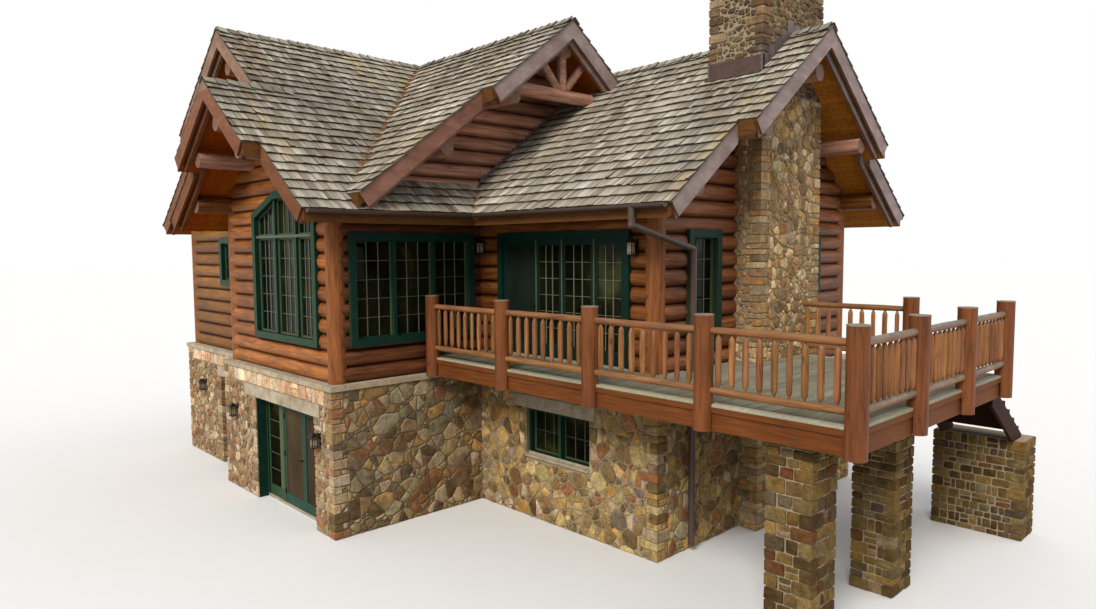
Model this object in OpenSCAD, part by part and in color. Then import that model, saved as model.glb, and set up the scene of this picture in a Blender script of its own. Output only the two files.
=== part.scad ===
// Alpine chalet: log walls on a stone basement, crossed gable roofs, a stone chimney and a deck.
// The origin is on the ground under the south-west corner post. X runs east, Y runs north, Z is up.

/* [Levels] */
// Height of the top of the stone ledge, where the logs start
ledge_z = 2750; // [2650:10:2900]
// Height of the deck boards and of the main floor
deck_z = 3085; // [3050:5:3200]
// Height of the roof surface at every eave edge
eave_z = 5815; // [5600:5:6100]
// Height of the chimney cap's top
chimney_top = 11250; // [10600:50:12500]

/* [Plan] */
// Depth of the west bay between the wall lines
bay_depth = 4400; // [4200:10:5000]
// How far the bay's wall line stands out from the main west wall line
bay_out = 485; // [450:5:700]
// Depth of the main block between the wall lines
main_depth = 8200; // [7600:50:9600]
// Distance from the bay's wall line to the wing's west wall line
wing_west = 3310; // [3200:10:3700]
// Width of the chimney wing between the wall lines
wing_width = 6300; // [5900:50:7200]
// Length of the chimney wing south of the main block
wing_length = 4550; // [4450:10:5500]
// Distance from the bay's wall line to the ridge of the middle gable
middle_ridge = 4630; // [4500:10:4900]

/* [Roof] */
// Rise of every roof slope for a run of one
roof_slope = 0.775; // [0.7:0.005:0.85]
// Thickness of the roof, measured plumb
roof_plumb = 240; // [200:5:300]
// Overhang of the eaves beyond the wall lines
eave_out = 935; // [800:5:1000]
// Overhang of the lower rake sections beyond the wall lines
rake_low = 1040; // [900:10:1150]
// How much further the upper rake sections reach
rake_step = 340; // [250:10:400]
// Overhang of the lower rake section on the main west gable
main_rake_low = 540; // [500:10:600]
// Distance from the bay's ridge to the end of its upper rake section
bay_step = 1666; // [1400:10:1900]
// Distance from the main ridge to the end of its upper rake sections
main_step = 2466; // [2200:10:2700]
// Distance from the wing's ridge to the end of its upper rake sections
wing_step = 2400; // [2200:10:2600]
// Distance from the middle ridge to the end of its upper rake section
middle_step = 2087; // [1900:10:2300]
// Run of the middle gable's west slope
middle_run = 4700; // [4650:5:4750]
// Depth of a barge board, square to the slope
barge_depth = 285; // [240:5:320]
// Thickness of a barge board
barge_t = 45; // [35:1:60]

/* [Logs] */
// Radius of a wall log
log_r = 165; // [155:1:175]
// Number of log courses from the ledge to the wall plate, the plate included
courses = 12; // [11:1:13]
// Radius of a corner post
post_r = 165; // [155:1:180]
// Radius of a purlin
purlin_r = 145; // [120:1:155]

/* [Stone] */
// How far the stone face stands out from the wall lines
stone_out = 245; // [230:5:280]
// Thickness of the basement walls
stone_t = 450; // [430:5:500]
// Height of the ledge course
ledge_h = 95; // [80:5:120]
// How far the ledge stands out from the stone face
ledge_out = 50; // [30:5:70]
// Height of the stone lintels
lintel_h = 240; // [200:5:280]
// Height of the basement door openings
basement_door_h = 2120; // [2050:5:2160]
// Width of the chimney
chimney_w = 2080; // [1800:10:2200]
// Distance from the wing's west wall line to the chimney's west face
chimney_x = 2150; // [2080:10:2300]
// How far the chimney stands out from the wing's south wall line
chimney_out = 620; // [560:5:800]
// Depth of the chimney from its outer face
chimney_d = 1070; // [950:10:1200]

/* [Openings] */
// Width of the green casings
casing_w = 90; // [70:1:110]
// Width of the bay window over its casings
bay_win_w = 2740; // [2500:10:2800]
// Distance from the south wall line to the bay window's casing
bay_win_y = 345; // [320:5:400]
// Height of the bay window's sill edge
bay_win_z = 3370; // [3350:5:3450]
// Width of the south window over its casings
south_win_w = 2780; // [2500:10:2800]
// Distance from the bay's wall line to the south window's casing
south_win_x = 185; // [180:5:300]
// Height of the window heads
head_z = 5440; // [5350:5:5500]
// Height of the south window's sill edge
sill_z = 3390; // [3350:5:3500]
// Width of the deck door group over its casings
deck_door_w = 3400; // [3200:10:3450]
// Distance from the south wall line to the deck door group
deck_door_y = 750; // [700:5:900]
// Width of the patio door opening
patio_w = 2630; // [2400:10:2700]
// Distance from the south wall line to the patio door opening
patio_y = 430; // [400:5:480]
// Width of the side door opening
side_door_w = 900; // [850:5:950]
// Distance from the bay's north wall line to the side door opening
side_door_y = 980; // [900:10:1100]

/* [Deck] */
// Distance from the bay's wall line to the deck's west edge
deck_x = 1790; // [1700:5:1900]
// Distance from the south wall line to the deck's south edge
deck_y = 8630; // [8400:5:9500]
// Spacing of the posts along the south edge
south_bay = 1745; // [1700:5:1900]
// Distance from the south wall line to the first post's axis
first_post_y = 390; // [385:1:420]
// Clear width of the deck stair between the post axes
stair_w = 1450; // [1300:5:1500]
// Radius of a deck post
deck_post_r = 130; // [120:1:140]
// Height of the deck posts above the deck
deck_post_h = 1165; // [1050:5:1250]
// Height of the top rail's axis above the deck
rail_h = 970; // [900:5:1000]
// Height of the bottom rail's axis above the deck
low_rail_h = 185; // [140:5:200]
// Radius of the rails
rail_r = 50; // [40:1:58]
// Radius of a baluster
baluster_r = 42; // [28:1:46]
// Number of balusters in a bay
balusters = 9; // [8:1:10]
// Depth of the nosing board round the deck's edge
nosing_h = 115; // [100:5:130]
// Depth of the whole deck rim, nosing and fascia
rim_h = 357; // [340:1:400]
// Side of the square deck piers
pier_side = 600; // [500:10:700]
// Rise of a stair step
step_rise = 190; // [175:1:195]
// Going of a stair step
step_going = 275; // [265:1:300]
// Number of risers in the stair
risers = 7; // [6:1:8]

/* [Hidden] */
$fn = 48;

// Colours
stone_c = [0.58, 0.48, 0.36];
ledge_c = [0.80, 0.74, 0.60];
log_c = [0.62, 0.33, 0.17];
barge_c = [0.42, 0.28, 0.24];
roof_c = [0.52, 0.48, 0.42];
green_c = [0.10, 0.24, 0.18];
glass_c = [0.35, 0.45, 0.45];
deck_c = [0.55, 0.58, 0.52];
dark_c = [0.20, 0.14, 0.11];

// Slope geometry
slope_len = sqrt(1 + roof_slope * roof_slope);
slope_angle = atan(roof_slope);
wing_east = wing_west + wing_width;
wing_ridge_x = wing_west + wing_width / 2;
main_ridge_y = main_depth / 2;
bay_ridge_y = bay_depth / 2;
main_ridge_z = eave_z + (main_ridge_y + eave_out) * roof_slope;
bay_ridge_z = eave_z + (bay_ridge_y + eave_out) * roof_slope;
wing_ridge_z = eave_z + (wing_width / 2 + eave_out) * roof_slope;
wall_roof_z = eave_z + eave_out * roof_slope;
rake_high = rake_low + rake_step;
main_rake_high = main_rake_low + rake_step;
// Where the middle gable's east slope meets the wing's west slope
trough_x = (middle_ridge + wing_ridge_x) / 2 + (main_ridge_z - wing_ridge_z) / (2 * roof_slope);
trough_y = trough_x - wing_west;

// Logs: the plates touch the underside of the roof, and the courses divide the height below
plate_z = wall_roof_z - roof_plumb - log_r * slope_len;
log_pitch = (plate_z - ledge_z) / (courses - 0.5);
gable_courses = ceil((main_ridge_z - ledge_z) / log_pitch);
purlin_low = 150;
ridge_low = 185;
purlin_drop = roof_plumb + purlin_low + purlin_r * slope_len;
log_back = 210;
plate_reach = rake_low - log_back;
purlin_reach = rake_high - log_back;
seat = 1;

// Stone
stone_in = stone_t - stone_out;
ledge_under = ledge_z - ledge_h;
lintel_proud = 15;
chimney_x0 = wing_west + chimney_x;
chimney_y0 = -wing_length - chimney_out;
cap_h = 120;
cap_out = 70;
flue_w = 420;
flue_wall = 45;
flue_h = 260;

// Joinery
jamb_w = 45;
jamb_d = 150;
casing_d = 30;
casing_n = log_r + 12;
casing_back = -casing_n + 45;
mullion_w = 70;
glass_t = 12;
door_t = 40;
door_gap = 8;
door_floor = 60;
stile_w = 85;

// Deck
deck_t = 40;
deck_edge_y = -deck_y;
rim_t = 45;
nosing_t = 25;
stair_x = deck_x + 3 * south_bay;
west_bay = (deck_y - first_post_y) / 4;
stair_north_y = deck_edge_y + stair_w;
rim_bottom = deck_z - rim_h;
wall_clear = 5;
house_gap = log_r + wall_clear;
stair_foot_z = deck_z - risers * step_rise;

// Placing: inside these frames x runs along the wall, y into the building and z up
module on_south(x, y) { translate([x, y, 0]) children(); }
module on_west(x, y) { translate([x, y, 0]) rotate([0, 0, -90]) children(); }
module on_north(x, y) { translate([x, y, 0]) rotate([0, 0, 180]) children(); }
module on_east(x, y) { translate([x, y, 0]) rotate([0, 0, 90]) children(); }
// A flat outline drawn in x and z, given a thickness along y
module upright(y0, y1) { translate([0, y1, 0]) rotate([90, 0, 0]) linear_extrude(y1 - y0) children(); }
// A box from its low corner to its high corner
module block(a, b) { translate(a) cube(b - a); }
// A round log between two points of one level
module log_x(x0, x1, y, z, r) { translate([x0, y, z]) rotate([0, 90, 0]) cylinder(h = x1 - x0, r = r); }
module log_y(x, y0, y1, z, r) { translate([x, y1, z]) rotate([90, 0, 0]) cylinder(h = y1 - y0, r = r); }

// Stacked logs in section, from the ledge up
module log_section(n, r) {
    difference() {
        for (i = [0 : n - 1]) translate([0, ledge_z + (i + 0.5) * log_pitch]) circle(r);
        translate([-2 * r, ledge_z - 2 * r]) square([4 * r, 2 * r]);
    }
    translate([-r * 0.6, ledge_z]) square([r * 1.2, log_pitch / 2]);
}
module logs_along_x(x0, x1, y, n, r = log_r) {
    translate([x0, y, 0]) rotate([90, 0, 90]) linear_extrude(x1 - x0) log_section(n, r);
}
module logs_along_y(x, y0, y1, n) {
    translate([x, y1, 0]) rotate([90, 0, 0]) linear_extrude(y1 - y0) log_section(n, log_r);
}

// Roof slopes: a slope's section, kept over its plan outline
roof_high = main_ridge_z + 1000;
module over_plan(points) {
    intersection() {
        children();
        linear_extrude(roof_high) polygon(points);
    }
}
module slope_section(run, ridge_z) {
    polygon([[0, ridge_z], [run, ridge_z - run * roof_slope],
        [run, ridge_z - run * roof_slope - roof_plumb], [0, ridge_z - roof_plumb]]);
}
// A slope that falls to the south, north, west or east from its ridge line
module slope_south(ridge_y, ridge_z, x0, x1) {
    translate([x0, ridge_y, 0]) rotate([90, 0, 90]) linear_extrude(x1 - x0)
        mirror([1, 0, 0]) slope_section(ridge_y + eave_out, ridge_z);
}
module slope_north(ridge_y, ridge_z, run, x0, x1) {
    translate([x0, ridge_y, 0]) rotate([90, 0, 90]) linear_extrude(x1 - x0) slope_section(run, ridge_z);
}
module slope_west(ridge_x, ridge_z, run, y0, y1) {
    translate([ridge_x, y1, 0]) rotate([90, 0, 0]) linear_extrude(y1 - y0)
        mirror([1, 0, 0]) slope_section(run, ridge_z);
}
module slope_east(ridge_x, ridge_z, run, y0, y1) {
    translate([ridge_x, y1, 0]) rotate([90, 0, 0]) linear_extrude(y1 - y0) slope_section(run, ridge_z);
}

module roof_main_south() {
    w_main = bay_out - main_rake_high + barge_t;
    e_low = wing_east + rake_low - barge_t;
    face = -log_r;
    color(roof_c) slope_limits() slope_south(main_ridge_y, main_ridge_z, -rake_high, wing_east + rake_high);
    module slope_limits() {
        over_plan([
            [w_main, main_ridge_y], [w_main, bay_ridge_y], [-rake_high + barge_t, bay_ridge_y],
            [-rake_high + barge_t, bay_ridge_y - bay_step], [-rake_low + barge_t, bay_ridge_y - bay_step],
            [-rake_low + barge_t, -eave_out], [wing_west - eave_out, -eave_out],
            [wing_west + face, face], [middle_ridge - main_ridge_y + face, face],
            [middle_ridge, main_ridge_y]]) children();
        over_plan([
            [middle_ridge, main_ridge_y], [trough_x, trough_y], [wing_ridge_x, wing_width / 2],
            [wing_east + eave_out, -eave_out], [e_low, -eave_out], [e_low, main_ridge_y - main_step],
            [e_low + rake_step, main_ridge_y - main_step], [e_low + rake_step, main_ridge_y]]) children();
    }
}
module main_north_slope() {
    w_low = bay_out - main_rake_low + barge_t;
    e_low = wing_east + rake_low - barge_t;
    run = main_ridge_y + eave_out;
    over_plan([
        [w_low - rake_step, main_ridge_y], [w_low - rake_step, main_ridge_y + main_step],
        [w_low, main_ridge_y + main_step], [w_low, main_ridge_y + run], [e_low, main_ridge_y + run],
        [e_low, main_ridge_y + main_step], [e_low + rake_step, main_ridge_y + main_step],
        [e_low + rake_step, main_ridge_y]])
        slope_north(main_ridge_y, main_ridge_z, run, -rake_high, wing_east + rake_high);
}
module bay_north_slope() {
    w_low = -rake_low + barge_t;
    w_main = bay_out - main_rake_high + barge_t;
    face = bay_out - log_r;
    run = bay_ridge_y + eave_out;
    difference() {
        over_plan([
            [w_low - rake_step, bay_ridge_y], [w_low - rake_step, bay_ridge_y + bay_step],
            [w_low, bay_ridge_y + bay_step], [w_low, bay_ridge_y + run], [face, bay_ridge_y + run],
            [face, bay_ridge_y]])
            slope_north(bay_ridge_y, bay_ridge_z, run, -rake_high, bay_out);
        slope_south(main_ridge_y, main_ridge_z, w_main, bay_out);
    }
}
module roof_north_slopes() {
    color(roof_c) {
        main_north_slope();
        bay_north_slope();
    }
}
// The middle gable's two slopes, one piece over the ridge
module roof_middle() {
    s_low = -rake_low + barge_t;
    w_end = middle_ridge - middle_run;
    color(roof_c) difference() {
        union() {
            over_plan([
                [middle_ridge, main_ridge_y], [w_end, main_ridge_y - middle_run], [w_end, s_low],
                [middle_ridge - middle_step, s_low], [middle_ridge - middle_step, s_low - rake_step],
                [middle_ridge, s_low - rake_step]])
                slope_west(middle_ridge, main_ridge_z, middle_run, -rake_high, main_ridge_y);
            over_plan([
                [middle_ridge, main_ridge_y], [trough_x, trough_y], [trough_x, s_low - rake_step],
                [middle_ridge, s_low - rake_step]])
                slope_east(middle_ridge, main_ridge_z, middle_run, -rake_high, main_ridge_y);
        }
        roof_main_south();
        roof_wing_west();
    }
}
module roof_wing_west() {
    run = wing_width / 2 + eave_out;
    face = -log_r;
    s_low = -wing_length - rake_low + barge_t;
    color(roof_c) difference() {
        over_plan([
            [wing_ridge_x, wing_width / 2], [trough_x, trough_y], [trough_x, face], [wing_west + face, face],
            [wing_west - eave_out, -eave_out], [wing_west - eave_out, s_low],
            [wing_ridge_x - wing_step, s_low], [wing_ridge_x - wing_step, s_low - rake_step],
            [wing_ridge_x, s_low - rake_step]])
            slope_west(wing_ridge_x, wing_ridge_z, run, -wing_length - rake_high, wing_width);
        chimney_shaft(seat);
    }
}
module roof_wing_east() {
    run = wing_width / 2 + eave_out;
    s_low = -wing_length - rake_low + barge_t;
    color(roof_c) difference() {
        over_plan([
            [wing_ridge_x, wing_width / 2], [wing_east + eave_out, -eave_out],
            [wing_east + eave_out, s_low], [wing_ridge_x + wing_step, s_low],
            [wing_ridge_x + wing_step, s_low - rake_step], [wing_ridge_x, s_low - rake_step]])
            slope_east(wing_ridge_x, wing_ridge_z, run, -wing_length - rake_high, wing_width);
        chimney_shaft(seat);
    }
}

// Barge boards: square-cut lower ends, and a plumb cut at the ridge and at the step
function barge_points(h0, h1, ridge_z, depth, drop) =
    let (top0 = ridge_z - drop - h0 * roof_slope, top1 = ridge_z - drop - h1 * roof_slope,
        back = depth * roof_slope / slope_len, down = depth / slope_len)
    [[h0, top0], [h1, top1], [h1 - back, top1 - down],
        [h0, top0 - depth * slope_len]];
module barge(h0, h1, ridge_z) {
    upright(0, barge_t) polygon(barge_points(h0, h1, ridge_z, barge_depth, 0));
}
// The rafters under the soffit, close behind the barge boards
rafter_t = 70;
rafter_depth = 170;
rafter_back = 110;
rafter_end = 150;
rafter_fit = 0.05;
module fly_rafter(h0, h1, ridge_z) {
    upright(rafter_back, rafter_back + rafter_t)
        polygon(barge_points(h0, h1, ridge_z, rafter_depth, roof_plumb + rafter_fit));
}
// One side of a rake: the upper section stands out, the lower one starts behind it
module rake_side(step, run, ridge_z, dir) {
    scale_x = dir;
    mirror([scale_x < 0 ? 1 : 0, 0, 0]) {
        barge(0, step, ridge_z);
        fly_rafter(0, step - rafter_end, ridge_z);
        translate([0, rake_step, 0]) {
            barge(step, run, ridge_z);
            fly_rafter(step - 200, run - rafter_end, ridge_z);
        }
    }
}
module barge_boards() {
    bay_run = bay_ridge_y + eave_out;
    main_run = main_ridge_y + eave_out;
    wing_run = wing_width / 2 + eave_out;
    // The rafters are notched over the purlins
    color(barge_c) difference() {
        union() {
            on_west(-rake_high, bay_ridge_y) {
                rake_side(bay_step, bay_run, bay_ridge_z, 1);
                rake_side(bay_step, bay_run, bay_ridge_z, -1);
            }
            on_west(bay_out - main_rake_high, main_ridge_y) rake_side(main_step, main_run, main_ridge_z, -1);
            difference() {
                on_west(bay_out - main_rake_high, main_ridge_y)
                    barge(0, main_ridge_y - bay_ridge_y, main_ridge_z);
                slope_north(bay_ridge_y, bay_ridge_z, bay_run, -rake_high, bay_out);
            }
            on_east(wing_east + rake_high, main_ridge_y) {
                rake_side(main_step, main_run, main_ridge_z, 1);
                rake_side(main_step, main_run, main_ridge_z, -1);
            }
            on_south(wing_ridge_x, -wing_length - rake_high) {
                rake_side(wing_step, wing_run, wing_ridge_z, 1);
                rake_side(wing_step, wing_run, wing_ridge_z, -1);
            }
            difference() {
                on_south(middle_ridge, -rake_high) {
                    rake_side(middle_step, middle_run, main_ridge_z, -1);
                    barge(0, trough_x - middle_ridge, main_ridge_z);
                    fly_rafter(0, trough_x - middle_ridge - rafter_end, main_ridge_z);
                }
                roof_main_south();
                roof_wing_west();
            }
        }
        purlins_raw(purlin_r + 4);
    }
}

// Gutters hang a little off the eave edges
gutter_gap = 30;
gutter_r = 65;
gutter_t = 4;
pipe_r = 55;
module gutter_section() {
    difference() {
        circle(gutter_r);
        circle(gutter_r - gutter_t);
        translate([-gutter_r, 0]) square([2 * gutter_r, gutter_r]);
    }
}
module gutter_x(x0, x1, y) {
    translate([x0, y, eave_z - 30]) rotate([90, 0, 90]) linear_extrude(x1 - x0) gutter_section();
    for (x = [x0, x1 - gutter_t]) gutter_end([x, y, eave_z - 30], [90, 0, 90]);
}
module gutter_y(x, y0, y1) {
    translate([x, y1, eave_z - 30]) rotate([90, 0, 0]) linear_extrude(y1 - y0) gutter_section();
    for (y = [y0 + gutter_t, y1]) gutter_end([x, y, eave_z - 30], [90, 0, 0]);
}
module gutter_end(p, turn) {
    translate(p) rotate(turn) linear_extrude(gutter_t) difference() {
        circle(gutter_r);
        translate([-gutter_r, 0]) square([2 * gutter_r, gutter_r]);
    }
}
module pipe(a, b) {
    d = b - a;
    len = norm(d);
    translate(a) rotate([0, acos(d[2] / len), atan2(d[1], d[0])]) cylinder(h = len, r = pipe_r);
}
// The downspout leaves the wing's gutter, slants to the south wall and drops to the ground
spout_x = wing_west + 540;
spout_y = -wing_length - stone_out - ledge_out - pipe_r - 10;
spout_end = 120;
module gutters() {
    off = gutter_gap + gutter_r;
    s_low = -wing_length - rake_low + barge_t;
    gx = wing_west - eave_out - off;
    spout_top = [gx, spout_y, eave_z - 60];
    knee = [gx, spout_y, eave_z - 340];
    elbow = [spout_x, spout_y, eave_z - 700];
    color(dark_c) {
        gutter_x(-rake_low + barge_t, gx, -eave_out - off);
        gutter_y(gx, s_low, -eave_out - off - gutter_r);
        gutter_y(wing_east + eave_out + off, s_low, -eave_out);
        gutter_x(bay_out - main_rake_low + barge_t, wing_east + rake_low - barge_t, main_depth + eave_out + off);
        difference() {
            union() {
                pipe(spout_top, knee);
                pipe(knee, elbow);
                for (p = [knee, elbow]) translate(p) sphere(pipe_r + 4);
                translate([spout_x, spout_y, spout_end]) cylinder(h = elbow[2] - spout_end, r = pipe_r);
            }
            translate([gx, spout_y, eave_z - 30]) rotate([90, 0, 0]) cylinder(h = 400, r = gutter_r, center = true);
        }
    }
}

// Chimney
module chimney_shaft(gap) {
    block([chimney_x0 - gap, chimney_y0 - gap, 0],
        [chimney_x0 + chimney_w + gap, chimney_y0 + chimney_d + gap, chimney_top - flue_h - cap_h]);
}
module chimney() {
    color(stone_c) chimney_shaft(0);
}
module chimney_cap() {
    z0 = chimney_top - flue_h - cap_h;
    mid = [chimney_x0 + chimney_w / 2, chimney_y0 + chimney_d / 2];
    color(ledge_c) difference() {
        union() {
            block([chimney_x0 - cap_out, chimney_y0 - cap_out, z0],
                [chimney_x0 + chimney_w + cap_out, chimney_y0 + chimney_d + cap_out, z0 + cap_h]);
            for (s = [-1, 1]) flue(s, z0, 0, flue_h + cap_h);
        }
        for (s = [-1, 1]) flue(s, z0 + cap_h / 2, flue_wall, flue_h + cap_h);
    }
    module flue(s, z, inset, h) {
        w = flue_w - 2 * inset;
        translate([mid[0] + s * chimney_w / 4 - w / 2, mid[1] - w / 2, z]) cube([w, w, h]);
    }
}

// Basement
module basement_floor() {
    color(stone_c) difference() {
        union() {
            block([stone_in, stone_in, 0], [bay_out + stone_in, bay_depth - stone_in, door_floor]);
            block([bay_out + stone_in, stone_in, 0],
                [wing_east - stone_in, main_depth - stone_in, door_floor]);
            block([wing_west + stone_in, -wing_length + stone_in, 0], [wing_east - stone_in, stone_in, door_floor]);
        }
        chimney_shaft(seat);
    }
}
basement_win_w = 1660;
basement_win_y = -1630;
basement_win_z0 = 1170;
basement_win_z1 = 2110;
south_face = -wing_length - stone_out;
// The walls that run east to west: under the triple window, the wing's south wall, the bay's
// return and the north wall
module basement_cross_walls() {
    color(stone_c) {
        block([-stone_out, -stone_out, 0], [wing_west - stone_out, stone_in, ledge_under]);
        block([wing_west + stone_in, south_face, 0], [chimney_x0, -wing_length + stone_in, ledge_under]);
        block([chimney_x0 + chimney_w, south_face, 0],
            [wing_east - stone_in, -wing_length + stone_in, ledge_under]);
        difference() {
            block([-stone_out, bay_depth - stone_in, 0],
                [bay_out + stone_in, bay_depth + stone_out, ledge_under]);
            patio_lintel(seat);
        }
        block([bay_out - stone_out, main_depth - stone_in, 0],
            [wing_east - stone_in, main_depth + stone_out, ledge_under]);
    }
}
// The walls that run north to south, split beside both doorways
module basement_long_walls() {
    color(stone_c) difference() {
        union() {
            block([wing_west - stone_out, south_face, 0], [wing_west + stone_in, stone_in, ledge_under]);
            block([wing_east - stone_in, south_face, 0],
                [wing_east + stone_out, main_depth + stone_out, ledge_under]);
            block([-stone_out, stone_in, 0], [stone_in, patio_y, ledge_under]);
            block([-stone_out, patio_north_y, 0], [stone_in, bay_depth - stone_in, ledge_under]);
            block([bay_out - stone_out, bay_depth + stone_out, 0],
                [bay_out + stone_in, side_y0, ledge_under]);
            block([bay_out - stone_out, side_y1, 0],
                [bay_out + stone_in, main_depth - stone_in, ledge_under]);
        }
        block([wing_west - stone_t, basement_win_y - basement_win_w, basement_win_z0],
            [wing_west + stone_t, basement_win_y, basement_win_z1]);
        basement_window_lintel(seat);
        patio_lintel(seat);
        side_lintel(seat);
    }
}
patio_north_y = patio_y + patio_w;
side_y0 = bay_depth + side_door_y;
side_y1 = side_y0 + side_door_w;
module basement_door_heads() {
    z0 = basement_door_h + lintel_h;
    color(stone_c) {
        block([-stone_out, patio_y, z0], [stone_in, patio_north_y, ledge_under]);
        block([bay_out - stone_out, side_y0, z0], [bay_out + stone_in, side_y1, ledge_under]);
    }
}
module patio_lintel(gap) {
    block([-stone_out - lintel_proud, patio_y - 200, basement_door_h],
        [stone_in + gap, patio_north_y + 560, basement_door_h + lintel_h]);
}
module side_lintel(gap) {
    block([bay_out - stone_out - lintel_proud, side_y0 - 200, basement_door_h],
        [bay_out + stone_in + gap, side_y1 + 200, basement_door_h + lintel_h]);
}
module basement_window_lintel(gap) {
    block([wing_west - stone_out - lintel_proud, basement_win_y - basement_win_w - 120, basement_win_z1],
        [wing_west + stone_in + gap, basement_win_y + 360, basement_win_z1 + lintel_h]);
}
sill_h = 90;
module stone_lintels() {
    color(ledge_c) {
        patio_lintel(0);
        side_lintel(0);
        basement_window_lintel(0);
        block([wing_west - stone_out - 40, basement_win_y - basement_win_w, basement_win_z0],
            [wing_west + stone_in, basement_win_y, basement_win_z0 + sill_h / 2]);
    }
}
// The ledge course on top of the stone walls, under the logs
module stone_ledge() {
    o = stone_out + ledge_out;
    color(ledge_c) difference() {
        translate([0, 0, ledge_under]) linear_extrude(ledge_h) difference() {
            ledge_outline(o);
            ledge_outline(-log_r);
        }
        chimney_shaft(0);
    }
}
// The house's wall lines in plan, moved out by o
module ledge_outline(o) {
    polygon([
        [-o, -o], [wing_west - o, -o], [wing_west - o, -wing_length - o], [wing_east + o, -wing_length - o],
        [wing_east + o, main_depth + o], [bay_out - o, main_depth + o], [bay_out - o, bay_depth + o],
        [-o, bay_depth + o]]);
}
module main_floor() {
    color(deck_c) difference() {
        translate([0, 0, ledge_under]) linear_extrude(deck_z - ledge_under) ledge_outline(-log_r - wall_clear);
        chimney_shaft(seat);
    }
}

// Posts, plates, purlins and the truss
module posts_at(r, z1) {
    for (p = [[0, 0], [0, bay_depth], [bay_out, main_depth], [wing_east, main_depth],
        [wing_east, -wing_length], [wing_west, -wing_length]])
        translate([p[0], p[1], ledge_z]) cylinder(h = z1 - ledge_z, r = r);
}
module corner_posts() {
    color(log_c) difference() {
        posts_at(post_r, plate_z);
        wall_plates_raw(log_r);
    }
}
module wall_plates_raw(r) {
    log_x(-plate_reach, wing_west, 0, plate_z, r);
    log_x(-plate_reach, bay_out + log_r, bay_depth, plate_z, r);
    log_x(bay_out - main_rake_low + log_back, wing_east + plate_reach, main_depth, plate_z, r);
    log_y(wing_west, -wing_length - plate_reach, log_r, plate_z, r);
    log_y(wing_east, -wing_length - plate_reach, 0, plate_z, r);
}
module wall_plates() {
    color(log_c) {
        difference() {
            log_x(-plate_reach, wing_west, 0, plate_z, log_r);
            log_y(wing_west, -wing_length, log_r, plate_z, log_r);
        }
        log_x(-plate_reach, bay_out - log_r, bay_depth, plate_z, log_r);
        log_x(bay_out - main_rake_low + log_back, wing_east + plate_reach, main_depth, plate_z, log_r);
        log_y(wing_west, -wing_length - plate_reach, log_r, plate_z, log_r);
        log_y(wing_east, -wing_length - plate_reach, 0, plate_z, log_r);
    }
}
// Purlins come out of the gable walls and carry the overhangs
bay_purlin = 1000;
main_purlin = 2000;
wing_purlin = 1700;
middle_purlins = [1380, 2750];
purlin_in = 300;
module purlins_raw(r) {
    roof_at = function (z, d) z - d * roof_slope - purlin_drop - (d == 0 ? ridge_low : 0);
    for (d = [-bay_purlin, 0, bay_purlin])
        log_x(-purlin_reach, purlin_in, bay_ridge_y + d, roof_at(bay_ridge_z, abs(d)), r);
    for (d = [0, main_purlin])
        log_x(bay_out - main_rake_high + log_back, bay_out + purlin_in, main_ridge_y + d,
            roof_at(main_ridge_z, abs(d)), r);
    for (d = [-main_purlin, 0, main_purlin])
        log_x(wing_east - purlin_in, wing_east + purlin_reach, main_ridge_y + d,
            roof_at(main_ridge_z, abs(d)), r);
    for (d = [-wing_purlin, wing_purlin])
        log_y(wing_ridge_x + d, -wing_length - purlin_reach, -wing_length + purlin_in,
            roof_at(wing_ridge_z, abs(d)), r);
    log_y(wing_ridge_x, -wing_length - purlin_reach, chimney_y0, roof_at(wing_ridge_z, 0), r);
    for (d = middle_purlins)
        log_y(middle_ridge - d, d < middle_step ? -purlin_reach : -plate_reach, purlin_in,
            roof_at(main_ridge_z, d), r);
    log_y(middle_ridge, -purlin_reach, purlin_in, roof_at(main_ridge_z, 0) + ridge_low, r);
}
module purlins() { color(log_c) purlins_raw(purlin_r); }

// The open truss in the middle gable
truss_y = -rake_low + 20;
tie_z = main_ridge_z - 1450;
tie_r = 130;
king_r = 110;
strut_r = 85;
strut_turn = 42;
tie_east = 850;
module gable_truss() {
    half = (main_ridge_z - roof_plumb - tie_z) / roof_slope;
    color(log_c) difference() {
        intersection() {
            union() {
                log_x(middle_ridge - half, middle_ridge + tie_east, truss_y, tie_z, tie_r);
                translate([middle_ridge, truss_y, tie_z])
                    cylinder(h = main_ridge_z - purlin_drop - tie_z, r = king_r);
                for (s = [-1, 1]) translate([middle_ridge, truss_y, tie_z]) rotate([0, s * strut_turn, 0])
                    cylinder(h = 2000, r = strut_r);
            }
            under_middle(-2000, 2000);
        }
        roof_wing_west();
        purlins_raw(purlin_r);
        for (d = [1, -1]) on_south(middle_ridge, -rake_high) rake_side(middle_step, middle_run, main_ridge_z, d);
    }
}
// The space under the middle gable's roof
module under_middle(y0, y1) {
    top = main_ridge_z - roof_plumb;
    translate([middle_ridge, 0, 0]) upright(y0, y1)
        polygon([[0, top], [-middle_run, top - middle_run * roof_slope],
            [middle_run, top - middle_run * roof_slope]]);
}

// Log walls
module fittings() {
    posts_at(post_r, plate_z);
    wall_plates_raw(log_r);
    purlins_raw(purlin_r);
}
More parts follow.
